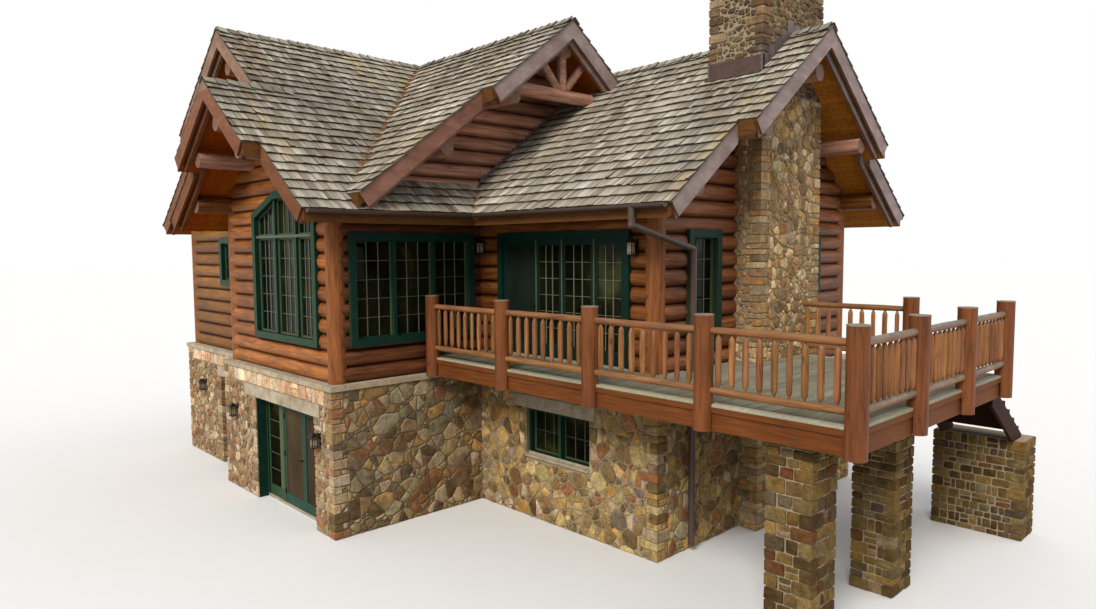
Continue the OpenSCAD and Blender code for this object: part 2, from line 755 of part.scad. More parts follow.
// Where two walls meet at a post, one gives way inside the corner; sx and sy point into the room
module inner_corner(x, y, sx, sy) {
    s = log_r + wall_clear;
    block([min(x, x + sx * s), min(y, y + sy * s), 0], [max(x, x + sx * s), max(y, y + sy * s), plate_z]);
}
module gable_end(ridge_y, ridge_z, y0, y1, x) {
    top = ridge_z - roof_plumb;
    translate([x - log_r, 0, 0]) rotate([90, 0, 90]) linear_extrude(2 * log_r)
        polygon([[y0, ledge_z], [y1, ledge_z], [y1, top - (y1 - ridge_y) * roof_slope], [ridge_y, top],
            [y0, top - (ridge_y - y0) * roof_slope]]);
}
module log_wall_bay() {
    color(log_c) difference() {
        intersection() {
            logs_along_y(0, 0, bay_depth, gable_courses);
            gable_end(bay_ridge_y, bay_ridge_z, 0, bay_depth, 0);
        }
        fittings();
        inner_corner(0, 0, 1, 1);
        inner_corner(0, bay_depth, 1, -1);
        bay_window_hole();
    }
}
module log_wall_south() {
    color(log_c) difference() {
        logs_along_x(0, wing_west - log_r, 0, courses - 1);
        fittings();
        on_south(south_win_x, 0) frame_hole(south_win_w, sill_z, head_z);
    }
}
// The bay's short north return is laid in slightly thinner logs, coped into the main wall
return_r = log_r - 5;
module log_wall_west() {
    top = main_ridge_z - roof_plumb;
    low = bay_ridge_z - roof_plumb;
    color(log_c) difference() {
        union() {
            intersection() {
                logs_along_y(bay_out, bay_ridge_y, main_depth, gable_courses);
                translate([bay_out - log_r, 0, 0]) rotate([90, 0, 90]) linear_extrude(2 * log_r)
                    polygon([[bay_depth, ledge_z], [main_depth, ledge_z],
                        [main_depth, top - main_ridge_y * roof_slope], [main_ridge_y, top],
                        [bay_ridge_y, low], [bay_depth, low - bay_ridge_y * roof_slope]]);
            }
            logs_along_x(0, bay_out + return_r, bay_depth, courses - 1, return_r);
        }
        fittings();
        inner_corner(bay_out, main_depth, 1, -1);
        on_west(bay_out, small_win_y1) frame_hole(small_win_w, small_win_z, head_z);
    }
}
module log_wall_north() {
    color(log_c) difference() {
        logs_along_x(bay_out, wing_east, main_depth, courses - 1);
        fittings();
        north_windows() frame_hole(north_win_w, north_win_z, head_z);
    }
}
module log_wall_east() {
    top = main_ridge_z - roof_plumb;
    color(log_c) difference() {
        union() {
            logs_along_y(wing_east, -wing_length, log_r, courses - 1);
            intersection() {
                logs_along_y(wing_east, 0, main_depth, gable_courses);
                gable_end(main_ridge_y, main_ridge_z, 0, main_depth, wing_east);
            }
        }
        fittings();
        inner_corner(wing_east, main_depth, -1, -1);
        inner_corner(wing_east, -wing_length, -1, 1);
        east_windows() frame_hole(north_win_w, north_win_z, head_z);
    }
}
module log_wall_wing_west() {
    color(log_c) difference() {
        logs_along_y(wing_west, -wing_length, log_r, courses - 1);
        fittings();
        inner_corner(wing_west, -wing_length, 1, 1);
        on_west(wing_west, -deck_door_y) frame_hole(deck_door_w, deck_z, head_z, 0);
    }
}
module log_wall_wing_south() {
    top = wing_ridge_z - roof_plumb;
    color(log_c) difference() {
        intersection() {
            logs_along_x(wing_west, wing_east, -wing_length, gable_courses);
            translate([wing_ridge_x, 0, 0]) upright(-wing_length - log_r, -wing_length + log_r)
                polygon([[-wing_width / 2, ledge_z], [wing_width / 2, ledge_z],
                    [wing_width / 2, top - wing_width / 2 * roof_slope], [0, top],
                    [-wing_width / 2, top - wing_width / 2 * roof_slope]]);
        }
        fittings();
        chimney_shaft(seat);
        on_south(wing_win_x0, -wing_length) frame_hole(wing_win_w, sill_z, head_z);
        on_south(wing_win_x1, -wing_length) frame_hole(wing_win_w, wing_win_z1, head_z);
    }
}
// The infill above the south wall's plate and the wing's west slope
module log_gable_middle() {
    top = main_ridge_z - roof_plumb - seat;
    left = middle_ridge - (top - plate_z) / roof_slope;
    first = courses;
    color(log_c) difference() {
        intersection() {
            translate([left, 0, 0]) rotate([90, 0, 90]) linear_extrude(trough_x - left)
                for (i = [first : gable_courses - 1]) translate([0, ledge_z + (i + 0.5) * log_pitch])
                    circle(log_r);
            upright(-log_r - 10, log_r + 10) polygon([[left, plate_z], [wing_west, plate_z],
                [trough_x, top - (trough_x - middle_ridge) * roof_slope], [middle_ridge, top]]);
        }
        fittings();
    }
}

// Windows: frame_hole is the cut, frame is the casing, jambs and mullions, and pane is the glass
small_win_w = 720;
small_win_y1 = 6250;
small_win_z = 4310;
wing_win_w = 945;
wing_win_x0 = wing_west + 660;
wing_win_x1 = chimney_x0 + chimney_w + 30;
wing_win_z1 = 4200;
north_win_w = 1500;
north_win_z = 4000;
module north_windows() {
    for (i = [1 : 3]) on_north(bay_out + (wing_east - bay_out) * i / 4 + north_win_w / 2, main_depth) children();
}
module east_windows() {
    for (y = [-wing_length / 2, main_depth * 0.25, main_depth * 0.72])
        on_east(wing_east, y - north_win_w / 2) children();
}
module frame_hole(w, z0, z1, sill = casing_w) {
    block([casing_w, -log_r - 10, z0 + sill], [w - casing_w, log_r + 10, z1 - casing_w]);
    block([-seat, -log_r - 10, z0 - (sill > 0 ? seat : 0)], [w + seat, casing_back, z1 + seat]);
}
module frame(w, z0, z1, mullions) {
    difference() {
        union() {
            block([0, -casing_n - casing_d, z0], [w, casing_back, z1]);
            block([casing_w, -casing_n, z0 + casing_w], [w - casing_w, jamb_d, z1 - casing_w]);
        }
        block([casing_w + jamb_w, -log_r * 2, z0 + casing_w + jamb_w],
            [w - casing_w - jamb_w, log_r * 2, z1 - casing_w - jamb_w]);
    }
    for (m = mullions) block([m - mullion_w / 2, -casing_n + 10, z0 + casing_w + jamb_w],
        [m + mullion_w / 2, -casing_n + 110, z1 - casing_w - jamb_w]);
}
module pane(w, z0, z1) {
    e = casing_w + jamb_w;
    block([e, -casing_n + 110, z0 + e], [w - e, -casing_n + 110 + glass_t, z1 - e]);
}
// The bay window follows the gable: its outer lights have sloping heads
bay_side_z = 5870;
bay_top_z = 6260;
bay_transom_z = 5400;
bay_lights = [1040, 1895];
module bay_outline(inset) {
    s = (bay_top_z - bay_side_z) / bay_lights[0];
    slant = inset * (sqrt(1 + s * s) - s);
    polygon([[inset, bay_win_z + inset], [bay_win_w - inset, bay_win_z + inset],
        [bay_win_w - inset, bay_side_z - slant], [bay_win_w - bay_lights[0], bay_top_z - inset],
        [bay_lights[0], bay_top_z - inset], [inset, bay_side_z - slant]]);
}
module bay_place() { on_west(0, bay_win_y + bay_win_w) children(); }
module bay_window_hole() {
    bay_place() {
        upright(-log_r - 10, log_r + 10) bay_outline(casing_w);
        upright(-log_r - 10, casing_back) bay_outline(-seat);
    }
}
module bay_window() {
    e = casing_w + jamb_w;
    color(green_c) bay_place() {
        difference() {
            union() {
                upright(-casing_n - casing_d, casing_back) bay_outline(0);
                upright(-casing_n, jamb_d) bay_outline(casing_w);
            }
            upright(-log_r * 2, log_r * 2) bay_outline(e);
        }
        upright(-casing_n + 10, -casing_n + 110) intersection() {
            bay_outline(e);
            union() {
                for (m = [bay_lights[0] - 40, bay_lights[1]])
                    translate([m - mullion_w / 2, bay_win_z]) square([mullion_w, bay_top_z - bay_win_z]);
                translate([0, bay_transom_z - 30]) square([bay_win_w, 60]);
            }
        }
    }
}
module window_frames() {
    color(green_c) {
        on_south(south_win_x, 0) frame(south_win_w, sill_z, head_z, [940, 1820]);
        on_west(bay_out, small_win_y1) frame(small_win_w, small_win_z, head_z, []);
        on_south(wing_win_x0, -wing_length) frame(wing_win_w, sill_z, head_z, []);
        on_south(wing_win_x1, -wing_length) frame(wing_win_w, wing_win_z1, head_z, []);
        north_windows() frame(north_win_w, north_win_z, head_z, [north_win_w / 2]);
        east_windows() frame(north_win_w, north_win_z, head_z, [north_win_w / 2]);
        basement_window_frame();
    }
}
basement_glass_n = 120;
module basement_window_frame() {
    z0 = basement_win_z0 + sill_h / 2;
    on_west(wing_west, basement_win_y) difference() {
        block([0, -stone_out + 60, z0], [basement_win_w, -stone_out + 220, basement_win_z1]);
        for (x = [0, basement_win_w / 2]) block([x + jamb_w, -stone_out, z0 + jamb_w],
            [x + basement_win_w / 2 - jamb_w / 2, 0, basement_win_z1 - jamb_w]);
    }
}
module window_glass() {
    e = casing_w + jamb_w;
    z0 = basement_win_z0 + sill_h / 2;
    color(glass_c) {
        bay_place() upright(-casing_n + 110, -casing_n + 110 + glass_t) bay_outline(e);
        on_south(south_win_x, 0) pane(south_win_w, sill_z, head_z);
        on_west(bay_out, small_win_y1) pane(small_win_w, small_win_z, head_z);
        on_south(wing_win_x0, -wing_length) pane(wing_win_w, sill_z, head_z);
        on_south(wing_win_x1, -wing_length) pane(wing_win_w, wing_win_z1, head_z);
        north_windows() pane(north_win_w, north_win_z, head_z);
        east_windows() pane(north_win_w, north_win_z, head_z);
        on_west(wing_west, -deck_door_y) deck_lights(-casing_n + 54, -casing_n + 54 + glass_t);
        on_west(patio_n, patio_north_y) patio_light(44, 44 + glass_t);
        on_west(wing_west, basement_win_y) block([jamb_w, -stone_out + 220, z0 + jamb_w],
            [basement_win_w - jamb_w, -stone_out + 220 + glass_t, basement_win_z1 - jamb_w]);
    }
}

// Deck doors: a door, a pair of fixed leaves and a door, as one fixed group
leaf_split = [0, 0.3, 0.52, 0.775, 1];
module deck_lights(y0, y1) {
    e = casing_w + jamb_w;
    leaf_x = leaf_split * (deck_door_w - 2 * e);
    for (i = [0 : 3]) block([e + leaf_x[i] + stile_w, y0, deck_z + 280],
        [e + leaf_x[i + 1] - stile_w, y1, head_z - e - 110]);
}
module deck_doors() {
    e = casing_w + jamb_w;
    color(green_c) on_west(wing_west, -deck_door_y) {
        difference() {
            union() {
                block([0, -casing_n - casing_d, deck_z], [deck_door_w, casing_back, head_z]);
                block([casing_w, -casing_n, deck_z], [deck_door_w - casing_w, jamb_d, head_z - casing_w]);
            }
            block([e, -log_r * 2, deck_z + 30], [deck_door_w - e, log_r * 2, head_z - e]);
        }
        difference() {
            block([e, -casing_n + 40, deck_z + 30], [deck_door_w - e, -casing_n + 40 + door_t, head_z - e]);
            deck_lights(-casing_n, 0);
        }
    }
}

// Patio doors: a fixed glazed light at the north and a pair of hinged screen doors
patio_n = -40;
patio_e = 55;
patio_head = basement_door_h;
screen_w = (patio_w - 2 * patio_e - mullion_w) * 0.35;
fixed_w = patio_w - 2 * patio_e - mullion_w - 2 * screen_w;
module patio_frame() {
    inner_h = patio_head - patio_e;
    on_west(patio_n, patio_north_y) {
        difference() {
            block([0, 0, 0], [patio_w, 110, patio_head]);
            block([patio_e, -10, door_floor], [patio_e + fixed_w, 120, inner_h]);
            block([patio_e + fixed_w + mullion_w, -10, door_floor], [patio_w - patio_e, 120, inner_h]);
        }
        difference() {
            block([patio_e, 30, door_floor], [patio_e + fixed_w, 30 + door_t, inner_h]);
            patio_light(20, 80);
        }
    }
}
module patio_light(y0, y1) {
    block([patio_e + 70, y0, door_floor + 220], [patio_e + fixed_w - 70, y1, patio_head - patio_e - 90]);
}
// A screen leaf drawn from its hinge edge along x; the screen sheet is set in its frame
screen_t = 6;
module screen_leaf(w, h) {
    difference() {
        block([0, 0, 0], [w, door_t - 8, h]);
        block([stile_w - 15, -5, 200], [w - stile_w + 15, door_t, h - 80]);
    }
    block([stile_w - 15, 12, 200], [w - stile_w + 15, 12 + screen_t, h - 80]);
}
// Three hinge knuckles on the leaf's edge at x, standing a little off the frame's face
hinge_r = 6.5;
hinge_off = 13;
module knuckles(x, dir, h) {
    for (z = [180, (h - 100) / 2, h - 280]) {
        translate([x - dir * door_gap / 2, -hinge_off, z]) cylinder(h = 100, r = hinge_r);
        block([min(x, x + dir * 34), -3, z], [max(x, x + dir * 34), 0, z + 100]);
        block([x - 3, -hinge_off, z], [x + 3, 0, z + 100]);
    }
}
handle_z = 1000;
module handle(x) {
    translate([x, 0, handle_z]) rotate([90, 0, 0]) cylinder(h = 45, r = 12);
    block([x - 110, -57, handle_z - 11], [x + 11, -45, handle_z + 11]);
}
leaf_h = patio_head - patio_e - door_floor - 2 * door_gap;
leaf_w = screen_w - 1.5 * door_gap;
module patio_screen_north() {
    x0 = patio_e + fixed_w + mullion_w + door_gap;
    color(green_c) on_west(patio_n, patio_north_y) translate([x0, 5, door_floor + door_gap]) {
        screen_leaf(leaf_w, leaf_h);
        knuckles(0, 1, leaf_h);
        handle(leaf_w - 40);
    }
}
module patio_screen_south() {
    color(green_c) on_west(patio_n, patio_north_y)
        translate([patio_w - patio_e - door_gap - leaf_w, 5, door_floor + door_gap]) {
            screen_leaf(leaf_w, leaf_h);
            knuckles(leaf_w, -1, leaf_h);
        }
}
side_n = bay_out - 40;
module door_frames() {
    color(green_c) {
        patio_frame();
        side_frame();
    }
}
module side_frame() {
    on_west(side_n, side_y1) difference() {
        block([0, 0, 0], [side_door_w, 110, patio_head]);
        block([patio_e, -10, door_floor], [side_door_w - patio_e, 120, patio_head - patio_e]);
    }
}
side_leaf_w = side_door_w - 2 * patio_e - 2 * door_gap;
module side_door() {
    color(green_c) on_west(side_n, side_y1) translate([patio_e + door_gap, 5, door_floor + door_gap]) {
        screen_leaf(side_leaf_w, leaf_h);
        knuckles(side_leaf_w, -1, leaf_h);
        mirror([1, 0, 0]) translate([-80, 0, 0]) handle(0);
    }
}

// Wall lanterns: a back plate, a bracket, a glazed body with four posts, and a roof
module lantern() {
    block([-55, -14, -60], [55, 0, 250]);
    translate([0, -14, 215]) rotate([90, 0, 0]) cylinder(h = 110, r = 10);
    translate([0, -120, 0]) {
        translate([0, 0, -40]) cylinder(h = 20, r1 = 40, r2 = 75);
        translate([0, 0, -20]) cylinder(h = 200, r = 62);
        translate([0, 0, 180]) cylinder(h = 70, r1 = 95, r2 = 20);
        for (a = [45 : 90 : 315]) rotate([0, 0, a]) translate([66, 0, -20]) cylinder(h = 200, r = 7);
    }
}
module lanterns() {
    color(dark_c) {
        on_south(wing_west - log_r - 100, -log_r) translate([0, 0, 5080]) lantern();
        on_west(wing_west - log_r, -deck_door_y - deck_door_w - 120) translate([0, 0, 5050]) lantern();
        on_west(-stone_out, patio_y - 170) translate([0, 0, 1620]) lantern();
        on_west(-stone_out, patio_north_y + 960) translate([0, 0, 1620]) lantern();
        on_west(bay_out - stone_out, side_y1 + 1000) translate([0, 0, 1700]) lantern();
    }
}

// Deck
module deck_plan(edge) {
    difference() {
        translate([deck_x + edge, deck_edge_y + edge])
            square([stair_x - deck_x - 2 * edge, deck_y - house_gap - edge]);
        translate([wing_west - house_gap, -wing_length - house_gap]) square([wing_width, wing_length + house_gap]);
        translate([chimney_x0 - wall_clear, chimney_y0 - wall_clear]) square([chimney_w + 2 * wall_clear, wing_length]);
        translate([spout_x, spout_y]) circle(pipe_r + 15);
    }
}
module deck_boards() {
    color(deck_c) translate([0, 0, deck_z - deck_t]) linear_extrude(deck_t) deck_plan(0);
}
module rim_ring(edge, t, z0, z1) {
    inner = edge + t;
    y1 = -stone_out - ledge_out - wall_clear;
    east_y1 = chimney_y0 - wall_clear;
    block([deck_x + edge, deck_edge_y + edge, z0], [deck_x + inner, y1, z1]);
    block([deck_x + inner, deck_edge_y + edge, z0], [stair_x - edge, deck_edge_y + inner, z1]);
    block([stair_x - inner, deck_edge_y + inner, z0], [stair_x - edge, east_y1, z1]);
}
module deck_rim() {
    color(log_c) {
        rim_ring(0, nosing_t, deck_z - nosing_h, deck_z - deck_t);
        rim_ring(nosing_t, rim_t, rim_bottom, deck_z - deck_t);
    }
}
joist_w = 60;
joist_h = 220;
beam_h = 200;
beam_w = 180;
joist_gap = 515;
rim_in = nosing_t + rim_t;
beam_y = -7980;
module deck_joists() {
    z1 = deck_z - deck_t;
    color(log_c) {
        // Joists under the south part run north to south, those under the west part run to the wall
        for (x = [deck_x + rim_in + joist_gap : joist_gap : stair_x - rim_in - joist_w]) difference() {
            block([x, deck_edge_y + rim_in, z1 - joist_h], [x + joist_w, -wing_length - house_gap - 90, z1]);
            block([chimney_x0 - wall_clear, chimney_y0 - wall_clear, 0],
                [chimney_x0 + chimney_w, 0, roof_high]);
        }
        for (y = [-wing_length : joist_gap : -stone_out - ledge_out - wall_clear - joist_w])
            block([deck_x + rim_in, y, z1 - joist_h],
                [wing_west - stone_out - ledge_out - wall_clear, y + joist_w, z1]);
    }
}
pier_x = [2050, 4520];
pier_y = -7980;
pier_top = deck_z - deck_t - joist_h;
// Two stone piers and the stair's footing
module deck_piers() {
    x1 = stair_x + stair_run + 250;
    color(stone_c) {
        for (x = pier_x) block([x, pier_y, 0], [x + pier_side, pier_y + pier_side, pier_top]);
        block([x1 - footing_l, deck_edge_y, 0], [x1, stair_north_y, stair_foot_z]);
    }
}
west_posts = [for (i = [0 : 4]) [deck_x, -first_post_y - i * west_bay]];
south_posts = [for (i = [1 : 3]) [deck_x + i * south_bay, deck_edge_y]];
east_post = [stair_x, stair_north_y];
deck_post_places = concat(west_posts, south_posts, [east_post]);
// Each post is notched over the deck's edge: its outer part runs down past the rim
module deck_posts() {
    color(log_c) difference() {
        for (p = deck_post_places) translate([p[0], p[1], rim_bottom])
            cylinder(h = deck_post_h + rim_h, r = deck_post_r);
        block([deck_x - seat, deck_edge_y - seat, rim_bottom - 1], [stair_x + seat, 0, deck_z]);
        block([deck_x - 2 * deck_post_r, -stone_out - ledge_out - wall_clear, 0], [deck_x, 0, ledge_z + wall_clear]);
    }
}
cap_t = 14;
module deck_post_caps() {
    color(ledge_c) for (p = deck_post_places) translate([p[0], p[1], deck_z + deck_post_h])
        cylinder(h = cap_t, r = deck_post_r + 3);
}
// A baluster with tapered tenons, set into the rails
tenon_r = 16;
taper_h = 38;
module baluster(z0, z1) {
    translate([0, 0, z0]) cylinder(h = z1 - z0, r = tenon_r);
    translate([0, 0, z0 + rail_r + 12]) cylinder(h = taper_h, r1 = tenon_r, r2 = baluster_r);
    translate([0, 0, z0 + rail_r + 12 + taper_h])
        cylinder(h = z1 - z0 - 2 * (rail_r + 12 + taper_h), r = baluster_r);
    translate([0, 0, z1 - rail_r - 12 - taper_h]) cylinder(h = taper_h, r1 = baluster_r, r2 = tenon_r);
}
// A rail panel from one post's axis to the next, a length away along x
module rail_panel(length, from_post, to_post) {
    z0 = deck_z + low_rail_h;
    z1 = deck_z + rail_h;
    a = from_post ? deck_post_r : 0;
    b = to_post ? deck_post_r : 0;
    pitch = (length - a - b) / balusters;
    difference() {
        union() {
            for (z = [z0, z1]) log_x(0, length, 0, z, rail_r);
            for (i = [0 : balusters - 1]) translate([a + (i + 0.5) * pitch, 0, 0]) baluster(z0, z1);
        }
        if (from_post) translate([0, 0, z0 - 500]) cylinder(h = 2000, r = deck_post_r);
        if (to_post) translate([length, 0, z0 - 500]) cylinder(h = 2000, r = deck_post_r);
    }
}
module deck_rails() {
    color(log_c) {
        for (i = [0 : 3]) on_west(deck_x, west_posts[i][1]) rail_panel(west_bay, true, true);
        for (i = [0 : 2]) on_south(deck_x + i * south_bay, deck_edge_y) rail_panel(south_bay, true, true);
        on_east(stair_x, stair_north_y) rail_panel(chimney_y0 - seat - stair_north_y, true, false);
    }
}

// Stair to the east
string_t = 50;
string_h = 280;
tread_t = 45;
footing_l = 620;
riser_t = 22;
stair_run = (risers - 1) * step_going;
module stair_stringers() {
    a = atan(step_rise / step_going);
    drop = string_h / cos(a);
    y_in = deck_post_r + 10;
    color(log_c) for (y = [deck_edge_y + y_in, stair_north_y - y_in - string_t])
        translate([stair_x + seat, y, 0]) upright(0, string_t) polygon([
            [0, deck_z - step_rise], [0, deck_z - step_rise - drop],
            [(deck_z - step_rise - drop - stair_foot_z) / tan(a), stair_foot_z],
            [stair_run, stair_foot_z], [stair_run, stair_foot_z + 60],
            [stair_run - 40, stair_foot_z + 60 + 30]]);
}
module stair_treads() {
    y_in = deck_post_r + 10 + string_t;
    color(deck_c) for (i = [1 : risers - 1]) {
        z = deck_z - i * step_rise;
        x = stair_x + seat + (i - 1) * step_going;
        block([x, deck_edge_y + y_in, z - tread_t], [x + step_going + 20, stair_north_y - y_in, z]);
        block([x, deck_edge_y + y_in, z + seat], [x + riser_t, stair_north_y - y_in, z + step_rise - tread_t - seat]);
    }
}
basement_floor();
basement_cross_walls();
basement_long_walls();
basement_door_heads();
stone_lintels();
stone_ledge();
chimney();
chimney_cap();
main_floor();
corner_posts();
log_wall_bay();
log_wall_south();
log_wall_west();
log_wall_north();
log_wall_east();
log_wall_wing_west();
log_wall_wing_south();
log_gable_middle();
wall_plates();
purlins();
gable_truss();
roof_main_south();
roof_north_slopes();
roof_middle();
roof_wing_west();
roof_wing_east();
barge_boards();
gutters();
bay_window();
window_frames();
deck_doors();
window_glass();
door_frames();
patio_screen_south();
patio_screen_north();
side_door();
lanterns();
deck_boards();
deck_rim();
deck_joists();
deck_piers();
deck_posts();
deck_post_caps();
deck_rails();
stair_stringers();
stair_treads();
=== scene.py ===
"""Alpine chalet: the looks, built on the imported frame. Metres, Z up, X east, Y north."""

import math
import random

import bpy
import numpy as np
from mathutils import Matrix, Vector, noise


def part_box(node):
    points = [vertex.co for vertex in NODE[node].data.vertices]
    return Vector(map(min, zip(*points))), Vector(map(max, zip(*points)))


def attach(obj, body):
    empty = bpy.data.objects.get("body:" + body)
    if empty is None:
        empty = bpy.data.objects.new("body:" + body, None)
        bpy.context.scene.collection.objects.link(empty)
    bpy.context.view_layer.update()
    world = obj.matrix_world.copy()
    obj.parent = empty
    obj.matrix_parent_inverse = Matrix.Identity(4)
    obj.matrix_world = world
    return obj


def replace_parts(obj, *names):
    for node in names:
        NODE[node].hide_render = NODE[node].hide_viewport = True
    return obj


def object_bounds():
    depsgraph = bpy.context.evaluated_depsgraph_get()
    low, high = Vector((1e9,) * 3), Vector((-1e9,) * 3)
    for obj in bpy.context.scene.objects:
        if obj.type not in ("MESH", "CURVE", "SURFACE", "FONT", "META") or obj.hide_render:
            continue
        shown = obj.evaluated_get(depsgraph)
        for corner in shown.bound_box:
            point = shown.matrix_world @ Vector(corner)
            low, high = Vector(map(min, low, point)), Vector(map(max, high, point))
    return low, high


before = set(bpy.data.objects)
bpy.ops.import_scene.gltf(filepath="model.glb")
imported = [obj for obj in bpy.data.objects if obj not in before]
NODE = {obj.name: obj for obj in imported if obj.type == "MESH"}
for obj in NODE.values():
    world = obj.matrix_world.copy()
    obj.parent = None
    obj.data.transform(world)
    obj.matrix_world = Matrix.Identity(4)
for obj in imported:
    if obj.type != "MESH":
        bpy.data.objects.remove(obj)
cad_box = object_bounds()

# The house's main sizes, as in the part's source
SLOPE = 0.775
SLOPE_LEN = math.sqrt(1 + SLOPE * SLOPE)
EAVE_Z = 5.815
EAVE_OUT = 0.935
BAY_DEPTH, BAY_OUT = 4.4, 0.485
MAIN_DEPTH = 8.2
WING_W, WING_E, WING_LEN = 3.31, 9.61, 4.55
WING_RIDGE_X = 6.46
MAIN_RIDGE_Y, BAY_RIDGE_Y = 4.1, 2.2
MIDDLE_X = 4.63
TROUGH_X, TROUGH_Y = 6.0222, 2.7122
RAKE_LOW, RAKE_HIGH = 1.04, 1.38
MAIN_RAKE_LOW, MAIN_RAKE_HIGH = 0.54, 0.88
BAY_STEP, MAIN_STEP, WING_STEP, MIDDLE_STEP = 1.666, 2.466, 2.4, 2.087
MIDDLE_RUN = 4.7
LEDGE_Z, LEDGE_UNDER = 2.75, 2.655
DECK_Z = 3.085
LOG_R = 0.165
STONE_OUT = 0.245
PLATE_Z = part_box("wall_plates")[0].z + LOG_R
LOG_PITCH = (PLATE_Z - LEDGE_Z) / 11.5
WING_HALF = 3.15
DECK_T = 0.04
WEST_BAY, SOUTH_BAY, FIRST_POST = 2.06, 1.745, 0.39
STAIR_Y = -7.18
DOOR_H = 2.12
PATIO_Y0, PATIO_Y1 = 0.43, 3.06
SIDE_Y0, SIDE_Y1 = 5.38, 6.28
CH_X0, CH_X1 = 5.46, 7.54
CH_Y0, CH_Y1 = -5.17, -4.10


# ------------------------------------------------------------------ mesh building
BOX_FACES = [(3, 2, 1, 0), (4, 5, 6, 7), (0, 1, 5, 4), (1, 2, 6, 5), (2, 3, 7, 6), (3, 0, 4, 7)]


class Soup:
    """Collects many small shapes into one mesh, each with its own tone."""

    def __init__(self):
        self.verts, self.faces, self.tones, self.mats = [], [], [], []

    def add(self, verts, faces, tone=(1, 1, 1), mat=0, seed=0.5, tones=None):
        base = len(self.verts)
        self.verts.extend(verts)
        self.faces.extend(tuple(base + i for i in f) for f in faces)
        self.tones.extend([(*t, seed) for t in tones] if tones else [(*tone, seed)] * len(verts))
        self.mats.extend([mat] * len(faces))

    def box(self, lo, hi, tone=(1, 1, 1), chamfer=0.0, mat=0, place=None, seed=0.5, jitter=None):
        x0, y0, z0 = lo
        x1, y1, z1 = hi
        c = min(chamfer, (x1 - x0) / 3, (y1 - y0) / 3, (z1 - z0) / 3)
        if c > 0:
            v, f = [], []
            for z, k in ((z0, c), (z0 + c, 0), (z1 - c, 0), (z1, c)):
                v += [(x0 + k, y0 + k, z), (x1 - k, y0 + k, z), (x1 - k, y1 - k, z), (x0 + k, y1 - k, z)]
            f.append((3, 2, 1, 0))
            for r in range(3):
                b = r * 4
                f += [(b + i, b + (i + 1) % 4, b + 4 + (i + 1) % 4, b + 4 + i) for i in range(4)]
            f.append((12, 13, 14, 15))
        else:
            v = [(x0, y0, z0), (x1, y0, z0), (x1, y1, z0), (x0, y1, z0),
                 (x0, y0, z1), (x1, y0, z1), (x1, y1, z1), (x0, y1, z1)]
            f = BOX_FACES
        if jitter:
            rnd, k = jitter
            v = [tuple(q + rnd.uniform(-k, k) for q in p) for p in v]
        if place is not None:
            v = [place(p) for p in v]
        self.add(v, f, tone, mat, seed)

    def tube(self, points, radius, sides=12, tone=(1, 1, 1), mat=0, seed=0.5):
        """A tube along points; radius is one number or one a point."""
        pts = [Vector(p) for p in points]
        radii = radius if isinstance(radius, (list, tuple)) else [radius] * len(pts)
        v, f = [], []
        side = None
        for i, p in enumerate(pts):
            d = (pts[min(i + 1, len(pts) - 1)] - pts[max(i - 1, 0)]).normalized()
            if side is None:
                side = d.cross(Vector((0, 0, 1)) if abs(d.z) < 0.9 else Vector((1, 0, 0))).normalized()
            side = (side - d * side.dot(d)).normalized()
            other = d.cross(side)
            for k in range(sides):
                a = 2 * math.pi * k / sides
                v.append(tuple(p + (side * math.cos(a) + other * math.sin(a)) * radii[i]))
        for i in range(len(pts) - 1):
            for k in range(sides):
                a, b = i * sides + k, i * sides + (k + 1) % sides
                f.append((a, b, b + sides, a + sides))
        f.append(tuple(reversed(range(sides))))
        f.append(tuple((len(pts) - 1) * sides + k for k in range(sides)))
        self.add(v, f, tone, mat, seed)

    def piece(self, name, materials, body="house", slot=None, smooth=None):
        me = bpy.data.meshes.new(name)
        me.from_pydata(self.verts, [], self.faces)
        me.update()
        tone = me.attributes.new("tone", "FLOAT_COLOR", "POINT")
        tone.data.foreach_set("color", np.array(self.tones, np.float32).ravel())
        if not isinstance(materials, (list, tuple)):
            materials = [materials]
        for m in materials:
            me.materials.append(m)
        me.polygons.foreach_set("material_index", np.array(self.mats, np.int32))
        if smooth is not None:
            me.shade_smooth()
            me.set_sharp_from_angle(angle=math.radians(smooth))
        o = bpy.data.objects.new(name, me)
        bpy.context.scene.collection.objects.link(o)
        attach(o, body)
        return o


def clip(poly, nx, ny, c):
    """The part of a convex polygon where nx*x + ny*y <= c."""
    out = []
    n = len(poly)
    for i in range(n):
        p, q = poly[i], poly[(i + 1) % n]
        dp, dq = nx * p[0] + ny * p[1] - c, nx * q[0] + ny * q[1] - c
        if dp <= 0:
            out.append(p)
        if (dp < 0 < dq) or (dq < 0 < dp):
            t = dp / (dp - dq)
            out.append((p[0] + (q[0] - p[0]) * t, p[1] + (q[1] - p[1]) * t))
    return out


def area(poly):
    return 0.5 * sum(poly[i][0] * poly[(i + 1) % len(poly)][1] - poly[(i + 1) % len(poly)][0] * poly[i][1]
                     for i in range(len(poly)))


